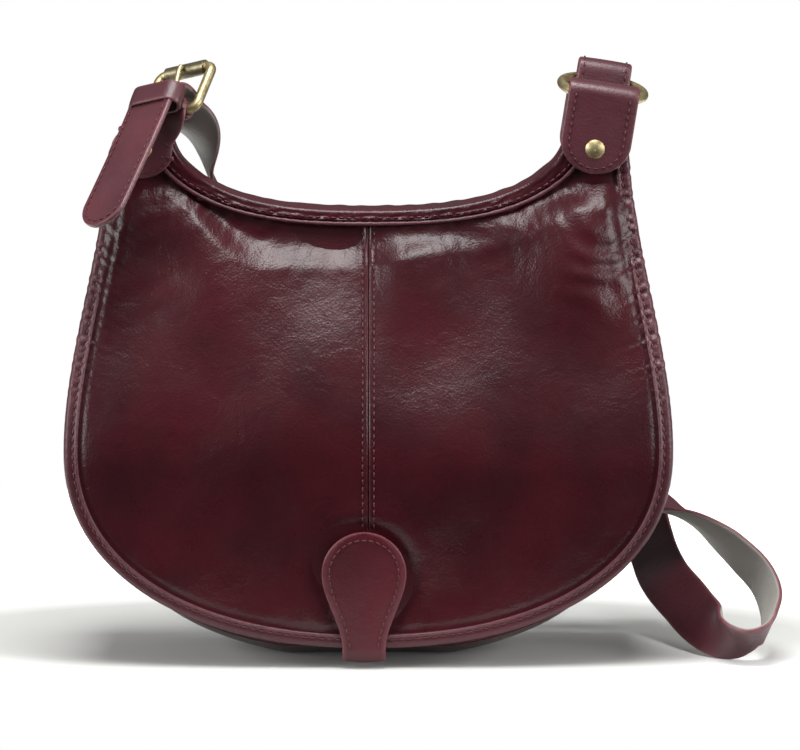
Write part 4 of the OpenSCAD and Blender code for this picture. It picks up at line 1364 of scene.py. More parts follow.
class Flap:
    """The flap: two skins, the binding, the closing tab and their stitches, and the lining."""

    def __init__(self) -> None:
        """Sets up the flap's parts."""
        self.skin = FlapSkin()
        self.binding = EdgeBinding(self.skin)
        self.tab = ClosingTab()

    def lining(self) -> bpy.types.Object:
        """Makes the lining behind the flap, held by the binding."""
        x, z = self.skin.below_bend(np.linspace(-1, 1, 121)[:, None], np.linspace(0, 1, 70)[None, :])
        slack = 0.22 * ripple(x, z, 40.0, 31)
        outer = np.stack([x, -(SHAPE.lining_y(x, z) + SHAPE.lining), z], axis=-1)
        inner = np.stack([x, -(SHAPE.lining_y(x, z) - 0.1 + np.maximum(slack, -0.3)), z], axis=-1)
        points, faces = shell_mesh(outer, inner)
        return make_piece("flap_cloth", points, faces, Finish.LINING)

    def build(self) -> None:
        """Builds every piece of the flap and hides the model's parts that they replace."""
        left = self.skin.build(-1, "flap_skin_left")
        right = self.skin.build(1, "flap_skin_right")
        binding = self.binding.build("flap_edge_binding")
        seams = StitchWork()
        self.skin.sew(seams)
        self.binding.sew(seams)
        stitches = seams.build("flap_topstitching")
        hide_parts("flap_panel_left", "flap_head")
        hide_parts("flap_panel_right", "flap_head")
        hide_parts("flap_binding", "horn_binding")
        for piece in (left, right, binding, stitches):
            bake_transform(piece)
        cloth = self.lining()
        tab = self.tab.build("tab_teardrop")
        rows = StitchWork()
        self.tab.sew(rows)
        tab_rows = rows.build("tab_stitching")
        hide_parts("flap_lining")
        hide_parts("closing_tab")
        for piece in (cloth, tab, tab_rows):
            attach(piece, "flap")
        skins = (left, "leather"), (right, "leather"), (tab, "leather")
        for piece, slot in (*skins, (binding, "binding"), (cloth, "lining")):
            LOG.info("built %s", piece.name)


# The body


@dataclass
class BagBody:
    """Front and back panels, gusset, linings, the top strip and the piping."""

    binding_width: float = 5.5
    binding: float = 0.9
    piping: float = 0.95
    strip: float = 1.2
    side_lining_top: float = 231.3

    def panel_grid(self, inset: float, top: float, high: Edge, across: int, up: int) -> Pair:
        """Places x and z of a body panel from its lobe to an upper edge.

        Args:
            inset: Distance inside the bag's outline.
            top: Height of the upper corners.
            high: Upper edge.
            across: Points across.
            up: Points up.

        Returns:
            The grid's x and z.
        """
        u = np.linspace(-1, 1, across)[:, None]
        v = np.linspace(0, 1, up)[None, :]
        return patch(u, v, SHAPE.body_lobe(u, inset), high(u), (SHAPE.wide_height, top), inset)

    def mouth(self, inset: float) -> Edge:
        """The front panel's upper edge, a little lower in its middle."""

        def edge(u: Array) -> Pair:
            """Place of the mouth's edge at u."""
            s = np.sin(np.radians(90 * u))
            side = float(SHAPE.side_x(np.asarray(SHAPE.mouth_height), inset))
            return side * s, SHAPE.mouth_height - SHAPE.mouth_dip * (1 - s * s)

        return edge

    @staticmethod
    def front_face(x: Array, z: Array) -> Array:
        """Depth of the front panel's outer face."""
        return SHAPE.panel_y(x, z) + SHAPE.leather

    def sheet(
        self,
        name: str,
        places: Pair,
        inner: Depth,
        thick: float,
        facing: int,
        finish: Finish,
        soft: float = 0.0,
    ) -> bpy.types.Object:
        """Makes a panel or lining.

        Args:
            name: Object name.
            places: The grid's x and z.
            inner: Depth of the inner face.
            thick: Thickness.
            facing: -1 for a sheet at the front, 1 for one at the back.
            finish: Finish.
            soft: Height of the outer face's soft unevenness.

        Returns:
            The new object.
        """
        x, z = places
        uneven = soft * ripple(x, z, 52.0, 41 + facing) * smooth((z - 8) / 20)
        inside = np.stack([x, facing * inner(x, z), z], axis=-1)
        outside = np.stack([x, facing * (inner(x, z) + thick + np.maximum(uneven, -0.4 * thick)), z], axis=-1)
        points, faces = shell_mesh(outside, inside)
        return make_piece(name, SHAPE.drawn_up(points), faces, finish)

    def gusset(self) -> bpy.types.Object:
        """Makes the gusset: a strip round the lobe, drawn in to the horns, soft between its seams.

        Its middle gives way inwards by up to 2 mm on the sides, with a few long folds.
        """
        line, normal = SHAPE.body_line(SHAPE.body_inset, SHAPE.horn_height, (120, 360, 420))
        normal[[0, -1]] = [[-1, 0], [1, 0]]
        t = np.linspace(-1, 1, 31)[None, :]
        half = SHAPE.half_depth(line[:, 1])[:, None] - SHAPE.seam
        free = smooth((line[:, 1] - 12) / 30)[:, None]
        give = (1 - t**2) * free * (1.1 + 0.7 * np.sin(line[:, 1] / 17.0)[:, None]) * np.minimum(1, half / 20)
        give = give + 0.35 * free * (1 - t**4) * ripple(line[:, 1:2] + 0 * t, t * half, 26.0, 51)
        flat = line[:, 1:2] <= 0.01

        def strip_at(offset: Array, share: float) -> Array:
            """The strip's face at a distance inside its outline."""
            place = line[:, None, :] - normal[:, None, :] * offset[..., None]
            place[..., 1] = np.where(flat, offset, np.maximum(place[..., 1], 0.0))
            across = np.broadcast_to(t * half, offset.shape) * share
            return np.stack([place[..., 0], across, place[..., 1]], axis=-1)

        give = np.where(flat, 0.0, np.maximum(give, 0.0))
        outer = strip_at(give + 0 * t, 1.0)
        inner = strip_at(give + SHAPE.leather, 0.995)
        points, faces = shell_mesh(outer, inner)
        return make_piece("gusset_strip", SHAPE.drawn_up(points), faces, Finish.BODY)

    def side_lining(self) -> bpy.types.Object:
        """Makes the lining inside the gusset."""
        inset = SHAPE.body_inset + SHAPE.leather + SHAPE.seam
        line, normal = SHAPE.body_line(inset, self.side_lining_top, (60, 160, 200))
        t = np.linspace(-1, 1, 15)[None, :]
        half = SHAPE.half_depth(line[:, 1])[:, None] - 2.8

        def face(offset: float) -> Array:
            """The lining's face at a distance inside its outline."""
            place = line - normal * offset
            low = np.maximum(place[:, 1:2], 2.3 + offset)
            return np.stack([place[:, :1] + 0 * t, t * half, low + 0 * t], axis=-1)

        points, faces = shell_mesh(face(0.0), face(SHAPE.lining))
        return make_piece("side_cloth", SHAPE.drawn_up(points), faces, Finish.LINING)

    def strip_line(self, end: float, count: int) -> Pair:
        """The dip's line (n, 2) and the normals that point down into the leather."""
        x, z = SHAPE.dip(np.linspace(-end, end, 800))
        line = resample(np.stack([x, z], axis=1), count)
        return line, outward(line)

    @staticmethod
    def front_lip(z: Array) -> Array:
        """How far the strip's front lip reaches down: 3.5 mm over the dip and 8 at the horns."""
        return mix(3.5, 8.0, (z - SHAPE.dip_height) / (SHAPE.horn_height - SHAPE.dip_height))

    def head_face(self, line: Array, normal: Array, out: Array) -> Array:
        """Depth of the head's outer face at distances down from the dip's line."""
        x, z = beside(line, normal, out)
        return SHAPE.head_y(x, z) + SHAPE.leather + 2 * SHAPE.seam

    def top_strip(self) -> bpy.types.Object:
        """Makes the leather strip that closes the dip: a front lip, a rounded top and a back lip.

        Both top corners are arcs of 2.4 mm, and the top between them is crowned by 0.7 mm
        and a little uneven. A painted highlight pales the back top corner and, faintly, the whole top.
        """
        line, normal = self.strip_line(0.995, 420)
        lip = self.front_lip(line[:, 1])[:, None]
        radius, wall = 2.4, self.strip
        turn = radius - wall - 0.3
        drop = np.concatenate([np.ones((1, 1)), np.linspace(0.97, 0.0, 8)[None, :]], axis=1)
        front_out = mix(turn, lip, drop)
        front = self.head_face(line, normal, front_out) + wall
        front[:, 0] -= wall
        arc = np.radians(np.linspace(0, 90, 7)[1:])[None, :]
        front_arc_out = turn - radius * np.sin(arc) + 0 * lip
        front_arc = front[:, -1:] - radius * (1 - np.cos(arc))
        back_edge = SHAPE.back_y(line[:, 0], line[:, 1])[:, None] + SHAPE.leather + 2 * SHAPE.seam + wall
        back_arc = -back_edge + radius * (1 - np.cos(arc[:, ::-1]))
        back_arc_out = turn - radius * np.sin(arc[:, ::-1]) + 0 * lip
        s = np.linspace(0, 1, 12)[None, 1:-1]
        top_depth = mix(front_arc[:, -1:], back_arc[:, :1], s)
        uneven = 0.18 * ripple(line[:, :1] + 0 * s, top_depth, 9.0, 61)
        top_out = front_arc_out[:, -1:] - (0.7 + uneven) * 4 * s * (1 - s)
        back_out = mix(turn, 4.0, np.linspace(0, 1, 6))[None, :] + 0 * lip
        back = -(SHAPE.back_y(*beside(line, normal, back_out)) + SHAPE.leather + 2 * SHAPE.seam + wall)
        back[:, -1] += wall
        wrinkle = 0.12 * ripple(line[:, :1] + 0 * front_out, front_out * 3, 7.0, 63)
        front[:, 1:] += wrinkle[:, 1:]
        out = np.concatenate([front_out, front_arc_out, top_out, back_arc_out, back_out], axis=1)
        depth = np.concatenate([front, front_arc, top_depth, back_arc, back], axis=1)
        x, z = beside(line, normal, out)
        rings = np.stack([x, -depth, z], axis=-1)
        # Painted highlight: paler along the back top corner, and a little paler over the whole top, as if lit
        # from above.
        wear_and_highlight = 0.5 * bump(out - front_arc_out[:, 2:3], 0.9) * (depth < -5) + 0.15 * (out < -0.9)
        points, faces = ring_mesh(rings)
        wear_and_highlight = np.clip(wear_and_highlight, 0, 1).ravel()
        return make_piece("dip_strip", points, faces, Finish.BODY, None, wear_and_highlight)

    def cord(self) -> bpy.types.Object:
        """Makes the piping under the strip's front lip: a thin tube that tapers at both ends, with a painted
        highlight on its front half.
        """
        line, normal = self.strip_line(0.93, 400)
        out = (self.front_lip(line[:, 1]) + SHAPE.seam + self.piping)[:, None]
        depth = self.head_face(line, normal, out + self.piping)[:, 0] + self.piping
        at = line + normal * out
        middle = np.stack([at[:, 0], -depth, at[:, 1]], axis=1)
        share = np.linspace(-1, 1, len(line))
        radius = self.piping * np.sqrt(np.maximum(0.04, 1 - smooth((np.abs(share) - 0.975) / 0.025)))[:, None]
        uneven = 1 + 0.07 * ripple(line[:, :1], 0 * radius, 5.0, 71)
        angle = np.arange(12) * math.pi / 6
        down = np.stack([normal[:, 0], 0 * depth, normal[:, 1]], axis=1)
        across = radius[..., None] * uneven[..., None] * np.cos(angle)[None, :, None] * down[:, None]
        ahead = radius[..., None] * np.sin(angle)[None, :, None] * np.array([0, -1.0, 0])
        points, faces = ring_mesh(middle[:, None] + across + ahead)
        # Painted highlight: the half of the piping that faces the front is painted paler.
        wear_and_highlight = np.broadcast_to(0.5 * np.clip(np.sin(angle), 0, 1), (len(line), 12))
        return make_piece("dip_piping", points, faces, Finish.BINDING, None, wear_and_highlight.ravel())

    def back_edge(self) -> tuple[bpy.types.Object, StitchWork]:
        """Makes the binding on the back panel's edge, with its own row of stitches."""
        line, normal = SHAPE.body_line(SHAPE.body_inset, SHAPE.horn_height, (160, 360, 760))
        normal[[0, -1]] = [[-1, 0], [1, 0]]
        arc = np.radians([30, 60, 90])
        shares = np.concatenate([[0.0], np.linspace(0.02, 0.86, 12), 0.86 + 0.14 * np.sin(arc)])
        out = -self.binding_width * (1 - shares)[None, :] + 0 * line[:, :1]
        place_x, place_z = beside(line, normal, out)
        place_z = np.maximum(place_z, 0.0)
        face = SHAPE.back_y(place_x, place_z) + SHAPE.leather + SHAPE.seam
        bead = 0.3 * bump(out + self.binding_width - 0.8, 0.7) - 0.2 * bump(out + 2.9, 0.6)
        height = self.binding + bead
        height[:, 0] = 0.0
        fall = np.concatenate([np.zeros(13), 1 - np.cos(arc)])
        outer = face + height - fall[None, :] * (self.binding + SHAPE.leather * 0.9)
        under = np.minimum(face - 0.2, outer - 0.05)
        faces = [np.stack([place_x, depth, place_z], axis=-1) for depth in (outer, under)]
        rings = np.concatenate([faces[0], faces[1][:, ::-1]], axis=1)
        points, faces = ring_mesh(rings)
        # Paler leather: a painted highlight along the bead at the inner lip, and wear where the binding rolls
        # over the edge.
        wear_and_highlight = 0.5 * bump(out + self.binding_width - 0.8, 0.6) + 0.4 * (fall > 0)
        wear_and_highlight = np.concatenate([wear_and_highlight, 0 * out], axis=1)
        edge = make_piece("back_edge_binding", points, faces, Finish.BINDING, None, wear_and_highlight.ravel())
        keep = line[:, 1] > 3.5
        at = line - normal * 2.9
        depth = SHAPE.back_y(at[:, 0], at[:, 1]) + SHAPE.leather + SHAPE.seam + self.binding - 0.2
        at_points = np.stack([at[:, 0], depth, at[:, 1]], axis=1)
        normals = facing_normals(SHAPE.back_y, at[:, 0], at[:, 1], 1)
        work = StitchWork()
        half = len(line) // 2
        for part in (slice(0, half), slice(half, None)):
            rows = keep[part] & (at[part, 1] < 236)
            work.sew(at_points[part][rows], normals[part][rows], 4.0)
        return edge, work

    def build(self) -> None:
        """Builds every piece of the body, hides the model's part that each replaces, and attaches it to the
        bag.
        """
        inset = SHAPE.body_inset
        inner_inset = inset + SHAPE.leather + SHAPE.seam
        top = SHAPE.horn_height
        back_places = self.panel_grid(inset, top, lambda u: SHAPE.top_edge(u, inset, 0.0), 181, 90)
        back = self.sheet("back_skin", back_places, SHAPE.back_y, SHAPE.leather, 1, Finish.BODY, 0.5)
        front_places = self.panel_grid(inset, SHAPE.mouth_height, self.mouth(inset), 121, 60)
        front = self.sheet("front_skin", front_places, SHAPE.panel_y, SHAPE.leather, -1, Finish.BODY, 0.25)
        front_inset = inner_inset + 0.3
        cloth_places = self.panel_grid(front_inset, SHAPE.mouth_height, self.mouth(front_inset), 81, 40)
        front_cloth = self.sheet(
            "front_cloth",
            cloth_places,
            lambda x, z: SHAPE.panel_y(x, z) - 2.5,
            SHAPE.lining,
            -1,
            Finish.LINING,
        )
        back_inset = inner_inset + 0.6
        cloth_places = self.panel_grid(
            back_inset, top - 4, lambda u: SHAPE.top_edge(u, back_inset, 4.0), 121, 60
        )
        back_cloth = self.sheet(
            "back_cloth", cloth_places, lambda x, z: SHAPE.back_y(x, z) - 2.2, SHAPE.lining, 1, Finish.LINING
        )
        edge, work = self.back_edge()
        mouth_row = self.mouth(inset)(np.linspace(-0.96, 0.96, 300))
        x, z = mouth_row[0], mouth_row[1] - 4.0
        work.sew(on_depth(self.front_face, x, z), facing_normals(self.front_face, x, z), 4.0)
        line, normal = self.strip_line(0.9, 440)
        out = self.front_lip(line[:, 1])[:, None] - 1.3
        depth = self.head_face(line, normal, out)[:, 0] + self.strip
        at = line + normal * out
        normals = facing_normals(SHAPE.head_y, at[:, 0], at[:, 1])
        work.sew(np.stack([at[:, 0], -depth, at[:, 1]], axis=1), normals, 3.6)
        sewn = work.build("body_stitching")
        stand_for = (
            (back, "back_panel", "leather"),
            (front, "front_panel", "leather"),
            (self.gusset(), "gusset", "leather"),
            (front_cloth, "lining_front", "lining"),
            (back_cloth, "lining_back", "lining"),
            (self.side_lining(), "lining_side", "lining"),
            (self.top_strip(), "top_strip", "leather"),
            (self.cord(), "front_piping", "binding"),
            (edge, "back_binding", "binding"),
        )
        for piece, node, slot in stand_for:
            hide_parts(node)
            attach(piece, "bag")
            LOG.info("built %s", piece.name)
        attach(sewn, "bag")


# Strap, chapes and keeper


@dataclass(frozen=True)
class Hangers:
    """Places of the rivets, the heel bar and the ring."""

    rivet_out: float = 104.5
    rivet_height: float = 236.0
    right_tilt: float = 9.0
    heel: tuple[float, float, float] = (-92.0, -6.0, 252.0)
    left_turn: float = 35.0
    left_rise: float = 13.0
    left_lean: float = 42.0
    ring_radius: float = 19.2
    ring_wire: float = 2.25
    ring_tilt: float = 9.5
    ring_middle: tuple[float, float] = (12.35, 26.535)

    def right(self, points: Array) -> Array:
        """Points of the right chape's frame in the bag's frame."""
        return turned(points, 1, self.right_tilt) + [self.rivet_out, 0.0, self.rivet_height]

    def left_direction(self, vectors: Array) -> Array:
        """Directions of the left chape's frame in the bag's frame."""
        return turned(turned(turned(vectors, 0, -self.left_lean), 1, -self.left_rise), 2, -self.left_turn)

    def left(self, points: Array) -> Array:
        """Points of the left chape's frame in the bag's frame."""
        return self.left_direction(points) + np.array(self.heel)


HANGERS = Hangers()


@dataclass
class ShoulderStrap:
    """The strap, from the ring behind the bag, through its loop on the floor, to its tip."""

    width: float = 25.0
    thick: float = 2.4
    tip_out: float = 13.0
    tip_length: float = 62.0
    tip_swing: float = 7.0
    lug_radius: float = 4.26
    loop_drop: float = 20.0
    loop_corner: float = 0.66
    margin: float = 2.6

    STEPS = 14
    TIP_STATIONS = 21
    # Places in shares of the bag's half width, half depth and horn height, with the
    # direction across the band
    ROUTE = (
        ((0.815, 1.45, 0.8), (-1, 0.1, 0)),
        ((0.86, 1.7, 0.58), (-0.97, 0.2, -0.1)),
        ((0.915, 1.95, 0.38), (-0.9, 0.35, -0.25)),
        ((0.93, 1.9, 0.235), (-0.85, 0.4, -0.35)),
        ((0.965, 1.45, 0.152), (-0.8, 0.42, -0.42)),
        ((1.0, 0.95, 0.115), (-0.75, 0.45, -0.45)),
        ((1.055, 0.45, 0.086), (-0.72, 0.45, -0.5)),
        ((1.1, -0.05, 0.065), (-0.58, 0.54, -0.55)),
        ((1.148, -0.5, 0.053), (-0.38, 0.66, -0.55)),
        ((1.205, -0.86, 0.05), (-0.12, 0.82, -0.5)),
        ((1.268, -1, 0.052), (0.02, 0.93, -0.44)),
        ((1.313, -0.92, 0.065), (-0.05, 0.95, -0.45)),
        ((1.332, -0.68, 0.091), (-0.25, 0.85, -0.52)),
        ((1.325, -0.34, 0.12), (-0.25, 0.75, -0.58)),
        ((1.293, 0, 0.15), (-0.2, 0.72, -0.6)),
        ((1.232, 0.33, 0.18), (-0.2, 0.76, -0.52)),
        ((1.162, 0.65, 0.205), (-0.2, 0.88, -0.34)),
        ((1.085, 0.98, 0.226), (-0.15, 0.95, -0.15)),
        ((1, 1.3, 0.243), (-0.02, 0.99, 0.12)),
        ((0.9, 1.5, 0.256), (0.08, 0.8, 0.6)),
        ((0.72, 1.55, 0.275), (0.15, 0.45, 0.88)),
        ((0.42, 1.55, 0.325), (0.25, 0.2, 0.95)),
        ((0.08, 1.5, 0.43), (0.4, 0.15, 0.9)),
        ((-0.2, 1.38, 0.575), (0.45, 0.25, 0.85)),
        ((-0.41, 1.12, 0.73), (0.08, 0.97, 0.15)),
        ((-0.497, 0.83, 0.855), (0.0, 1, 0.03)),
        ((-0.55, 0.58, 0.935), (-0.15, 0.98, 0)),
    )
    OVER_BAR = (
        (1.308, 1.625),
        (0.692, 1.875),
        (0.231, 2.15),
        (-0.231, 2.3),
        (-0.615, 1.95),
        (-0.923, 1),
        (-1, -0.25),
    )
    TIP_DOWN = (0.194, 0.419, 0.645, 0.839, 1.0)

    def ring_place(self) -> tuple[Array, float, float]:
        """Middle of the end loop, and its half depth and half height."""
        h, tilt = HANGERS, math.radians(HANGERS.ring_tilt)
        bow = h.ring_radius - math.sqrt(h.ring_radius**2 - self.width**2 / 4)
        half_y = (bow + 2 * h.ring_wire + self.thick) / 2 + 1.5
        half_z = h.ring_wire + self.thick / 2 + 3.2
        y = h.ring_middle[0] + h.ring_radius * math.cos(tilt) - bow / 2
        z = h.ring_middle[1] + h.ring_radius * math.sin(tilt)
        return np.array([0.0, y, z]), half_y, half_z

    def loop_band(self) -> Band:
        """The folded end piece, up in front of the ring's back, over it and down behind."""
        middle, half_y, half_z = self.ring_place()
        corner = self.loop_corner
        places = np.array(
            [
                (-half_y, -half_z),
                (-half_y, 0.0),
                (-half_y * corner, half_z),
                (half_y * corner, half_z),
                (half_y, 0.0),
                (half_y, -half_z - self.thick),
                (half_y, -half_z - self.loop_drop / 2),
                (half_y, -half_z - self.loop_drop),
            ]
        )
        points = HANGERS.right(middle + np.concatenate([np.zeros((len(places), 1)), places], axis=1))
        line = catmull_rom(points, self.STEPS)
        across = turned(np.array([-1.0, 0, 0]), 1, HANGERS.right_tilt)
        return Band(line, across, np.full(len(line), self.width / 2), self.thick, 0.3)

    def strap_band(self) -> Band:
        """The strap itself, on its twisting route, with its round tip."""
        middle, half_y, half_z = self.ring_place()
        start_y = half_y - self.thick - 1.2
        start = np.array([[0.0, start_y, 1.7 - half_z - s * self.loop_drop] for s in (0.3, 0.8, 1.35)])
        shares = np.array([r[0] for r in self.ROUTE])
        scale = np.array([SHAPE.half_width, SHAPE.half_base, SHAPE.horn_height])
        over = np.array([(0.0, s[0] * self.tip_out, s[1] * self.lug_radius) for s in self.OVER_BAR])
        share = np.array(self.TIP_DOWN)
        down_y = np.full_like(share, -self.tip_out)
        down = np.stack([-self.tip_swing * share**1.3, down_y, -share * self.tip_length], axis=1)
        tip = HANGERS.left(np.concatenate([over, down]))
        points = np.concatenate([HANGERS.right(middle + start), shares * scale, tip])
        plain = np.array([[-1.0, 0, 0]])
        route = unit(np.array([r[1] for r in self.ROUTE], dtype=float))
        over_bar = np.tile(HANGERS.left_direction(plain), (len(tip), 1))
        across = np.concatenate([np.tile(plain, (len(start), 1)), route, over_bar])
        both = catmull_rom(np.concatenate([points, across], axis=1), self.STEPS)
        line, across = both[:, :3], both[:, 3:]
        downwards = unit(line[-1] - line[-2])
        shares = np.sin(np.radians(np.linspace(0, 88.5, self.TIP_STATIONS + 1)[1:]))
        rounded = line[-1] + downwards * (shares * self.width / 2)[:, None]
        half = np.concatenate([np.full(len(line), 1.0), np.sqrt(1 - shares**2)]) * self.width / 2
        line = np.concatenate([line, rounded])
        across = np.concatenate([across, np.tile(across[-1:], (len(rounded), 1))])
        return Band(line, across, half, self.thick, 0.0, False, True)

    def build(self) -> None:
        """Builds the strap, the end loop and their stitches."""
        strap, loop = self.strap_band(), self.loop_band()
        piece = strap.build("strap_length", Finish.STRAP, flesh=True)
        end = loop.build("strap_end", Finish.STRAP)
        work = StitchWork()
        edge = self.width / 2 - self.margin
        tip = len(strap.line) - self.TIP_STATIONS
        work.sew(*round_end_row(strap, self.margin, tip - 1, self.width / 2, tip - 6 * self.STEPS), 3.9)
        for side in (-1, 1):
            work.sew(*loop.row(side * edge, 0.02, 0.98), 3.5)
        sewn = work.build("strap_stitching")
        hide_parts("shoulder_strap")
        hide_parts("strap_end_loop")
        for item in (piece, end, sewn):
            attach(item, "bag")
            LOG.info("built %s", item.name)


@dataclass
class Chapes:
    """Both chapes and the keeper: folded leather that holds the buckle and the ring."""

    width: float = 30.4
    right_width: float = 32.8
    thick: float = 2.2
    drop: float = 13.5
    right_drop: float = 11.6
    back_share: float = 0.82
    inner: float = 9.4
    fold_rise: float = 30.0
    fold_corner: float = 5.0
    margin: float = 2.6
    back_margin: float = 5.3
    pitch: float = 3.4
    neck_shift: float = 3.2
    neck_half: tuple[float, float] = (11.6, 11.2)
    bar_radius: float = 2.36
    lug_half: float = 4.47
    lug_out: float = 6.73
    lug_thick: float = 1.9
    keeper_height: float = 11.0
    keeper_low: float = -5.0
    keeper_thick: float = 1.4
    keeper_half: float = 12.9
    keeper_front: float = 14.6
    keeper_back: float = 4.56
    keeper_corner: float = 5.6

    ROUND = 36

    def half_at(self, z: Array, drop: float) -> Array:
        """Half width at heights z of a chape whose round end lies drop below its rivet."""
        radius = self.width / 2
        low = radius - drop
        return np.where(z < low, np.sqrt(np.maximum(0.01, radius**2 - (z - low) ** 2)), radius)

    def down_stations(self, top: float, drop: float) -> Array:
        """Heights from a chape's round bottom up to a top, closer together at the bottom."""
        radius = self.width / 2
        low = radius - drop
        angle = np.radians(np.linspace(2.0, 90, self.ROUND))
        return np.concatenate([low - radius * np.cos(angle), np.linspace(low, top, 40)[1:]])

    def right_band(self) -> Band:
        """The right chape: up the front, over the ring's front and down the back."""
        y = self.inner + self.thick / 2
        top = self.fold_rise - self.thick / 2
        corner = self.fold_corner - self.thick / 2
        z = self.down_stations(top - corner, self.right_drop)
        angle = np.radians(np.linspace(0, 90, 14)[1:-1])
        front = np.stack([0 * z, -y + 0 * z, z], axis=1)
        bend_y, bend_z = -y + corner * (1 - np.cos(angle)), top - corner + corner * np.sin(angle)
        bend = np.stack([0 * angle, bend_y, bend_z], axis=1)
        across = np.stack([np.zeros(9), np.linspace(-y + corner, y - corner, 9), np.full(9, top)], axis=1)
        mirror = np.array([1.0, -1.0, 1.0])
        line = np.concatenate([front, bend, across, bend[::-1] * mirror, front[::-1] * mirror])
        half = self.half_at(line[:, 2], self.right_drop) * self.right_width / self.width
        side = turned(np.array([1.0, 0, 0]), 1, HANGERS.right_tilt)
        return Band(HANGERS.right(line), -side, half, self.thick, 0.25)

    def left_bands(self) -> tuple[Band, Band, list[Band]]:
        """The left chape: its front ply, its back ply with the bridge, and the two lugs."""
        h, y = HANGERS, self.inner + self.thick / 2
        middle = np.array([-h.rivet_out, 0.0, h.rivet_height])
        z = self.down_stations(7.0, self.drop)
        front = middle + np.stack([0 * z, -y + 0 * z, z], axis=1)
        reach = self.bar_radius + self.lug_thick / 2
        start = h.left(np.array([[0.0, -reach, -3.0], [0.0, -reach, 0.0]]))
        moved = front[-3:] + [self.neck_shift, 0, 0]
        neck = catmull_rom(np.concatenate([moved, start]), 12)[25:]
        t = np.linspace(0, 1, len(neck))
        drawn = smooth((z + 3.0) / 10.0)
        front[:, 0] += self.neck_shift * drawn
        tapered = np.minimum(self.half_at(z, self.drop), mix(self.width / 2, self.neck_half[0], drawn))
        half = np.concatenate([tapered, mix(*self.neck_half, smooth(t))])
        plain = np.array([[-1.0, 0, 0]])
        along_bar = h.left_direction(plain)
        swung = unit(mix(plain, along_bar, smooth(t)[:, None]))
        across = np.concatenate([np.tile(plain, (len(front), 1)), swung])
        front_ply = Band(np.concatenate([front, neck]), across, half, self.thick, 0.2)
        z = self.down_stations(3.0, self.drop)
        back = middle + np.stack([0 * z, y + 0 * z, z], axis=1)
        rising, falling = ((0.0, y, 5.9), (-0.6, y - 1.2, 8.2)), ((-7.2, -4.0, 9.0), (-6.8, -y + 1.5, 8.6))
        over = middle + np.array([*rising, (-4.6, 4.0, 9.0), *falling])
        bridge = catmull_rom(np.concatenate([back[-3:], over]), 8)[17:]
        t = np.linspace(0, 1, len(bridge))
        narrowed = mix(self.back_share * self.width / 2, 4.0, smooth(t / 0.3))
        half = np.concatenate([self.back_share * self.half_at(z, self.drop), narrowed])
        back_ply = Band(np.concatenate([back, bridge]), np.array([1.0, 0, 0]), half, self.thick, 0.0)
        lugs = []
        angle = np.radians(np.linspace(-28, 250, 40))
        for side in (-1, 1):
            out = np.full_like(angle, side * self.lug_out)
            round_bar = np.stack([out, -reach * np.cos(angle), reach * np.sin(angle)], axis=1)
            half = np.full(len(angle), self.lug_half)
            lugs.append(Band(h.left(round_bar), along_bar, half, self.lug_thick))
        return front_ply, back_ply, lugs

    def keeper_band(self) -> Band:
        """The keeper: a closed loop of thin leather round the tip."""
        half = self.keeper_half + self.keeper_thick / 2
        front, back = self.keeper_front + self.keeper_thick / 2, self.keeper_back + self.keeper_thick / 2
        angle = np.radians(np.linspace(0, 90, 8))
        corner = self.keeper_corner
        pieces = []
        for k, (x, y) in enumerate(((half, -back), (-half, -back), (-half, -front), (half, -front))):
            turn = angle + math.radians(90 * k)
            centre = np.array([x - math.copysign(corner, x), y + (-corner if y == -back else corner)])
            pieces.append(np.stack([np.cos(turn), np.sin(turn)], axis=1) * corner + centre)
        loop = np.concatenate(pieces)
        loop = resample(np.concatenate([loop, loop[:1]]), 140)[:-1]
        middle = self.keeper_low + self.keeper_height / 2
        points = HANGERS.left(np.concatenate([loop, np.full((len(loop), 1), middle)], axis=1))
        direction = HANGERS.left_direction(np.array([0.0, 0, 1.0]))
        half_width = np.full(len(points), self.keeper_height / 2)
        return Band(points, direction, half_width, self.keeper_thick, 0.25, True, False)

    def build(self) -> None:
        """Builds the chapes, the keeper and their stitches."""
        work = StitchWork()
        right = self.right_band()
        right_piece = right.build("right_chape_fold", Finish.STRAP)
        radius, corner, last = self.width / 2, self.ROUND - 1, len(right.line) - 1
        for centre, start in ((corner, corner + 39), (last - corner, last - corner - 39)):
            work.sew(*round_end_row(right, self.margin, centre, radius, start), self.pitch)
        front, back, lugs = self.left_bands()
        left_front = front.build("left_chape_front", Finish.STRAP)
        left_back = back.build("left_chape_back", Finish.STRAP)
        lug_pieces = [lug.build(f"left_chape_lug_{k}", Finish.STRAP) for k, lug in enumerate(lugs)]
        work.sew(*round_end_row(front, self.margin, corner, radius, corner + 5), self.pitch)
        work.sew(*round_end_row(back, self.back_margin, corner, radius, corner + 25), self.pitch)
        keeper = self.keeper_band()
        keeper_piece = keeper.build("keeper_loop", Finish.STRAP)
        sewn = work.build("chape_stitching")
        for piece in (left_front, left_back, *lug_pieces):
            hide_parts("chape_left")
        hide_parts("chape_right")
        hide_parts("keeper")
        for piece in (right_piece, left_front, left_back, *lug_pieces, keeper_piece):
            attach(piece, "bag")
            LOG.info("built %s", piece.name)
        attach(sewn, "bag")


# Metal and studio


class Hardware:
    """The metal parts, which keep their solids' shapes and get their finishes."""

    FINISHES = {
        "rivet_caps": Finish.BRASS,
        "rivet_posts": Finish.BRASS,
        "buckle_frame": Finish.BRASS,
        "buckle_roller": Finish.ROLLER,
        "strap_ring": Finish.BRASS,
        "snap_socket": Finish.BRASS,
        "snap_stud": Finish.BRASS,
        "snap_magnet": Finish.NICKEL,
        "socket_washer": Finish.NICKEL,
        "stud_washer": Finish.NICKEL,
    }

    def dress(self, nodes: dict[str, bpy.types.Object]) -> None:
        """Puts each metal finish on its node's material slots.

        Args:
            nodes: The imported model's objects by node name.
        """
        for name, finish in self.FINISHES.items():
            for slot in nodes[name].material_slots:
                slot.material = finish.material()


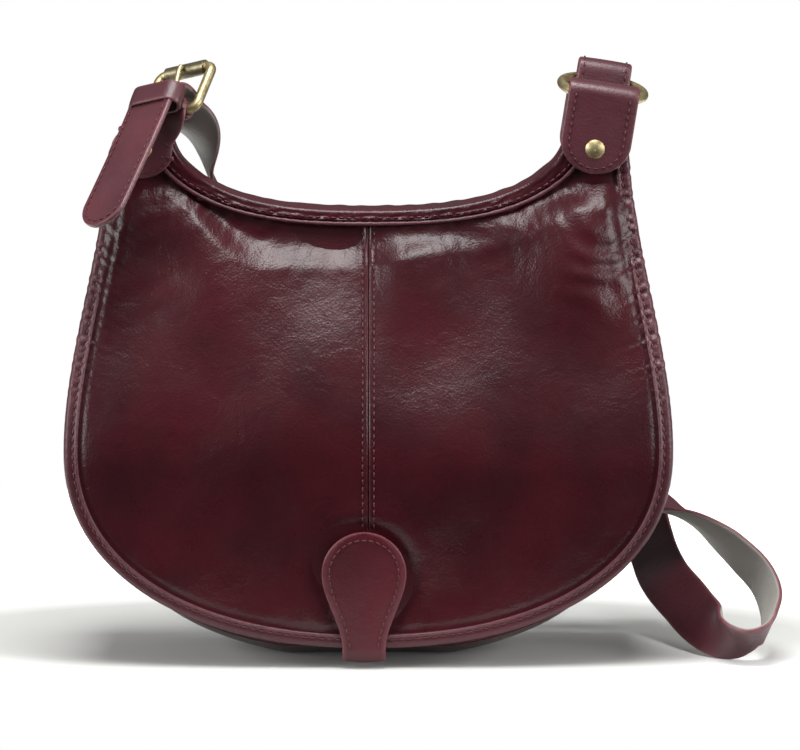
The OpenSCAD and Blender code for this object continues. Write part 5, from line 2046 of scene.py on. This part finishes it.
@dataclass
class Prong:
    """The buckle's prong: a wire bent round the heel bar, which ends on the roller."""

    wire: float = 1.3
    eye: float = 2.95
    root: float = 3.0
    roller_height: float = 27.0
    roller_front: float = 5.3
    end: float = 26.3
    rest_turn: float = -4.0

    def line(self) -> Array:
        """Middle line: three quarters round the bar, then straight, with its end bent in a little."""
        angle = np.radians(np.linspace(150, 352, 26))
        wrap = np.stack([0 * angle, self.eye * np.sin(angle), self.eye * np.cos(angle)], axis=1)
        z = np.linspace(self.root + 3.0, self.end, 24)
        y = -self.roller_front * (z - self.root) / (self.roller_height - self.root)
        y = y - 0.35 * np.sin(math.pi * (z - self.root) / (self.end - self.root))
        y = y + 0.5 * smooth((z - self.end + 4) / 4)
        straight = np.stack([0 * z, y, z], axis=1)
        return catmull_rom(np.concatenate([wrap, straight])[::2], 4)

    def build(self) -> None:
        """Builds the wire with both its ends rounded."""
        line = self.line()
        ahead = unit(np.gradient(line, axis=0))
        cap = np.sin(np.radians(np.linspace(0, 88, 8)))
        first = line[0] - ahead[0] * self.wire * cap[:0:-1, None]
        last = line[-1] + ahead[-1] * self.wire * cap[1:, None]
        line = np.concatenate([first, line, last])
        rounds = len(cap) - 1
        ahead = np.concatenate([np.tile(ahead[:1], (rounds, 1)), ahead, np.tile(ahead[-1:], (rounds, 1))])
        thinner = np.sqrt(1 - cap[1:] ** 2)
        radius = np.concatenate([thinner[::-1], np.ones(len(line) - 2 * rounds), thinner])
        turn = np.radians(np.linspace(0, 360, 25)[:-1])
        side = np.array([1.0, 0, 0])
        up = np.cross(ahead, side)
        rings = np.cos(turn)[None, :, None] * side + np.sin(turn)[None, :, None] * up[:, None, :]
        rings = line[:, None, :] + rings * (radius * self.wire)[:, None, None]
        rings = HANGERS.left(turned(rings.reshape(-1, 3), 0, self.rest_turn)).reshape(rings.shape)
        points, faces = ring_mesh(rings)
        piece = make_piece("prong_wire", points, faces, Finish.BRASS)
        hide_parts("buckle_prong")
        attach(piece, "prong")
        LOG.info("built %s", piece.name)


@dataclass
class Studio:
    """A white floor, soft lamps and the camera at the photograph's angle."""

    elevation: float = 7.0
    distance: float = 3200.0
    target: tuple[float, float, float] = (14.5, -20.0, 132.1)
    frame_width: float = 369.6
    table_side: float = 0.8
    table_front: float = -0.12
    table_back: float = 0.55
    shade_reach: tuple[float, float] = (0.27, 0.14)
    shade_middle: float = 0.05

    def camera(self) -> None:
        """Makes the camera, whose frame is as wide as the photograph's at the target."""
        data = bpy.data.cameras.new("studio_camera")
        data.sensor_width = 36.0
        data.lens = 36.0 * self.distance / self.frame_width
        data.clip_start, data.clip_end = 0.05, 50.0
        camera = bpy.data.objects.new("studio_camera", data)
        tilt = math.radians(self.elevation)
        offset = np.array([0.0, -math.cos(tilt), math.sin(tilt)]) * self.distance
        camera.location = (np.array(self.target) + offset) * MM
        camera.rotation_euler = (math.radians(90.0 - self.elevation), 0.0, 0.0)
        bpy.context.scene.collection.objects.link(camera)
        bpy.context.scene.camera = camera

    def lamp(self, name: str, place: tuple, size: float, power: float, aim: tuple) -> None:
        """Makes one square soft lamp.

        Args:
            name: Object name.
            place: Its place, in metres.
            size: Side of the lamp, in metres.
            power: Power in watts.
            aim: Point it faces, in metres.
        """
        data = bpy.data.lights.new(name, "AREA")
        data.size, data.energy = size, power
        lamp = bpy.data.objects.new(name, data)
        lamp.location = place
        towards = np.array(aim, dtype=float) - np.array(place, dtype=float)
        flat = math.hypot(towards[0], towards[1])
        heading = math.atan2(towards[1], towards[0]) - math.pi / 2
        lamp.rotation_euler = (math.atan2(flat, -towards[2]), 0.0, heading)
        bpy.context.scene.collection.objects.link(lamp)

    def floor(self) -> None:
        """Makes the white table top. It glows to the camera, except where the shadow lies."""
        wide, deep = self.shade_reach
        material, tree = new_material("white_laminate_table")
        paths = add_node(tree, "LightPath", {})
        seen = add_node(
            tree,
            "Math",
            {"operation": "MAXIMUM", 0: paths.outputs["Is Camera Ray"], 1: paths.outputs["Is Glossy Ray"]},
        )
        seen = add_node(
            tree, "Math", {"operation": "MAXIMUM", 0: seen, 1: paths.outputs["Is Transmission Ray"]}
        )
        board = add_node(tree, "BsdfDiffuse", {"Color": linear("#d0d0cd")})
        place = add_node(tree, "TexCoord", {})
        spread = add_node(
            tree,
            "VectorMath",
            {
                "operation": "MULTIPLY_ADD",
                0: place.outputs["Object"],
                1: (1 / wide, 1 / deep, 0.0),
                2: (0.0, -self.shade_middle / deep, 0.0),
            },
        )
        away = add_node(tree, "VectorMath", {"operation": "LENGTH", 0: spread})
        fade = add_node(
            tree,
            "MapRange",
            {"Value": away.outputs["Value"], "From Min": 0.75, "From Max": 1.2, "To Min": 0.02, "To Max": 0.9},
        )
        glow = add_node(tree, "Emission", {"Color": linear("#ffffff"), "Strength": fade})
        plain = add_node(tree, "AddShader", {0: board, 1: glow})
        shader = add_node(tree, "MixShader", {0: seen, 1: board, 2: plain})
        add_node(tree, "OutputMaterial", {"Surface": shader})
        side, front, back = self.table_side, self.table_front, self.table_back
        mesh = bpy.data.meshes.new("table_top")
        corners = [(-side, front, 0), (side, front, 0), (side, back, 0), (-side, back, 0)]
        mesh.from_pydata(corners, [], [(0, 1, 2, 3)])
        mesh.materials.append(material)
        table = bpy.data.objects.new("table_top", mesh)
        bpy.context.scene.collection.objects.link(table)

    def world(self) -> None:
        """Sets the room: white to the camera, and a soft grey dome to everything else."""
        world = bpy.data.worlds.new("studio_room")
        bpy.context.scene.world = world
        world.use_nodes = True
        tree = world.node_tree
        tree.nodes.clear()
        paths = add_node(tree, "LightPath", {})
        direction = add_node(tree, "TexCoord", {})
        split = add_node(tree, "SeparateXYZ", {0: direction.outputs["Generated"]})
        dome = add_node(
            tree,
            "MapRange",
            {"Value": split.outputs["Z"], "From Min": 0.1, "From Max": 0.9, "To Min": 0.08, "To Max": 0.32},
        )
        room = add_node(tree, "Background", {"Color": linear("#f2f4f6"), "Strength": dome})
        white = add_node(tree, "Background", {"Color": linear("#ffffff"), "Strength": 1.0})
        shader = add_node(tree, "MixShader", {0: paths.outputs["Is Camera Ray"], 1: room, 2: white})
        add_node(tree, "OutputWorld", {"Surface": shader})

    def build(self) -> None:
        """Builds the whole studio."""
        self.camera()
        self.floor()
        self.world()
        aim = (0.0, 0.0, 0.14)
        self.lamp("overhead", (0.0, -0.48, 1.85), 0.9, 37.0, aim)
        self.lamp("side_left", (-1.7, -0.9, 0.75), 1.0, 26.0, aim)
        self.lamp("side_right", (1.7, -0.8, 0.7), 1.0, 24.0, aim)
        bpy.context.scene.view_settings.view_transform = "Standard"


def main() -> None:
    """Builds the bag, its metal and the studio, in order."""
    logging.basicConfig(level=logging.INFO, format="%(name)s: %(message)s")
    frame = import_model()
    Studio().build()
    Flap().build()
    BagBody().build()
    ShoulderStrap().build()
    Chapes().build()
    Prong().build()
    Hardware().dress(frame["nodes"])
    LOG.info("finished")


if __name__ == "__main__":
    main()
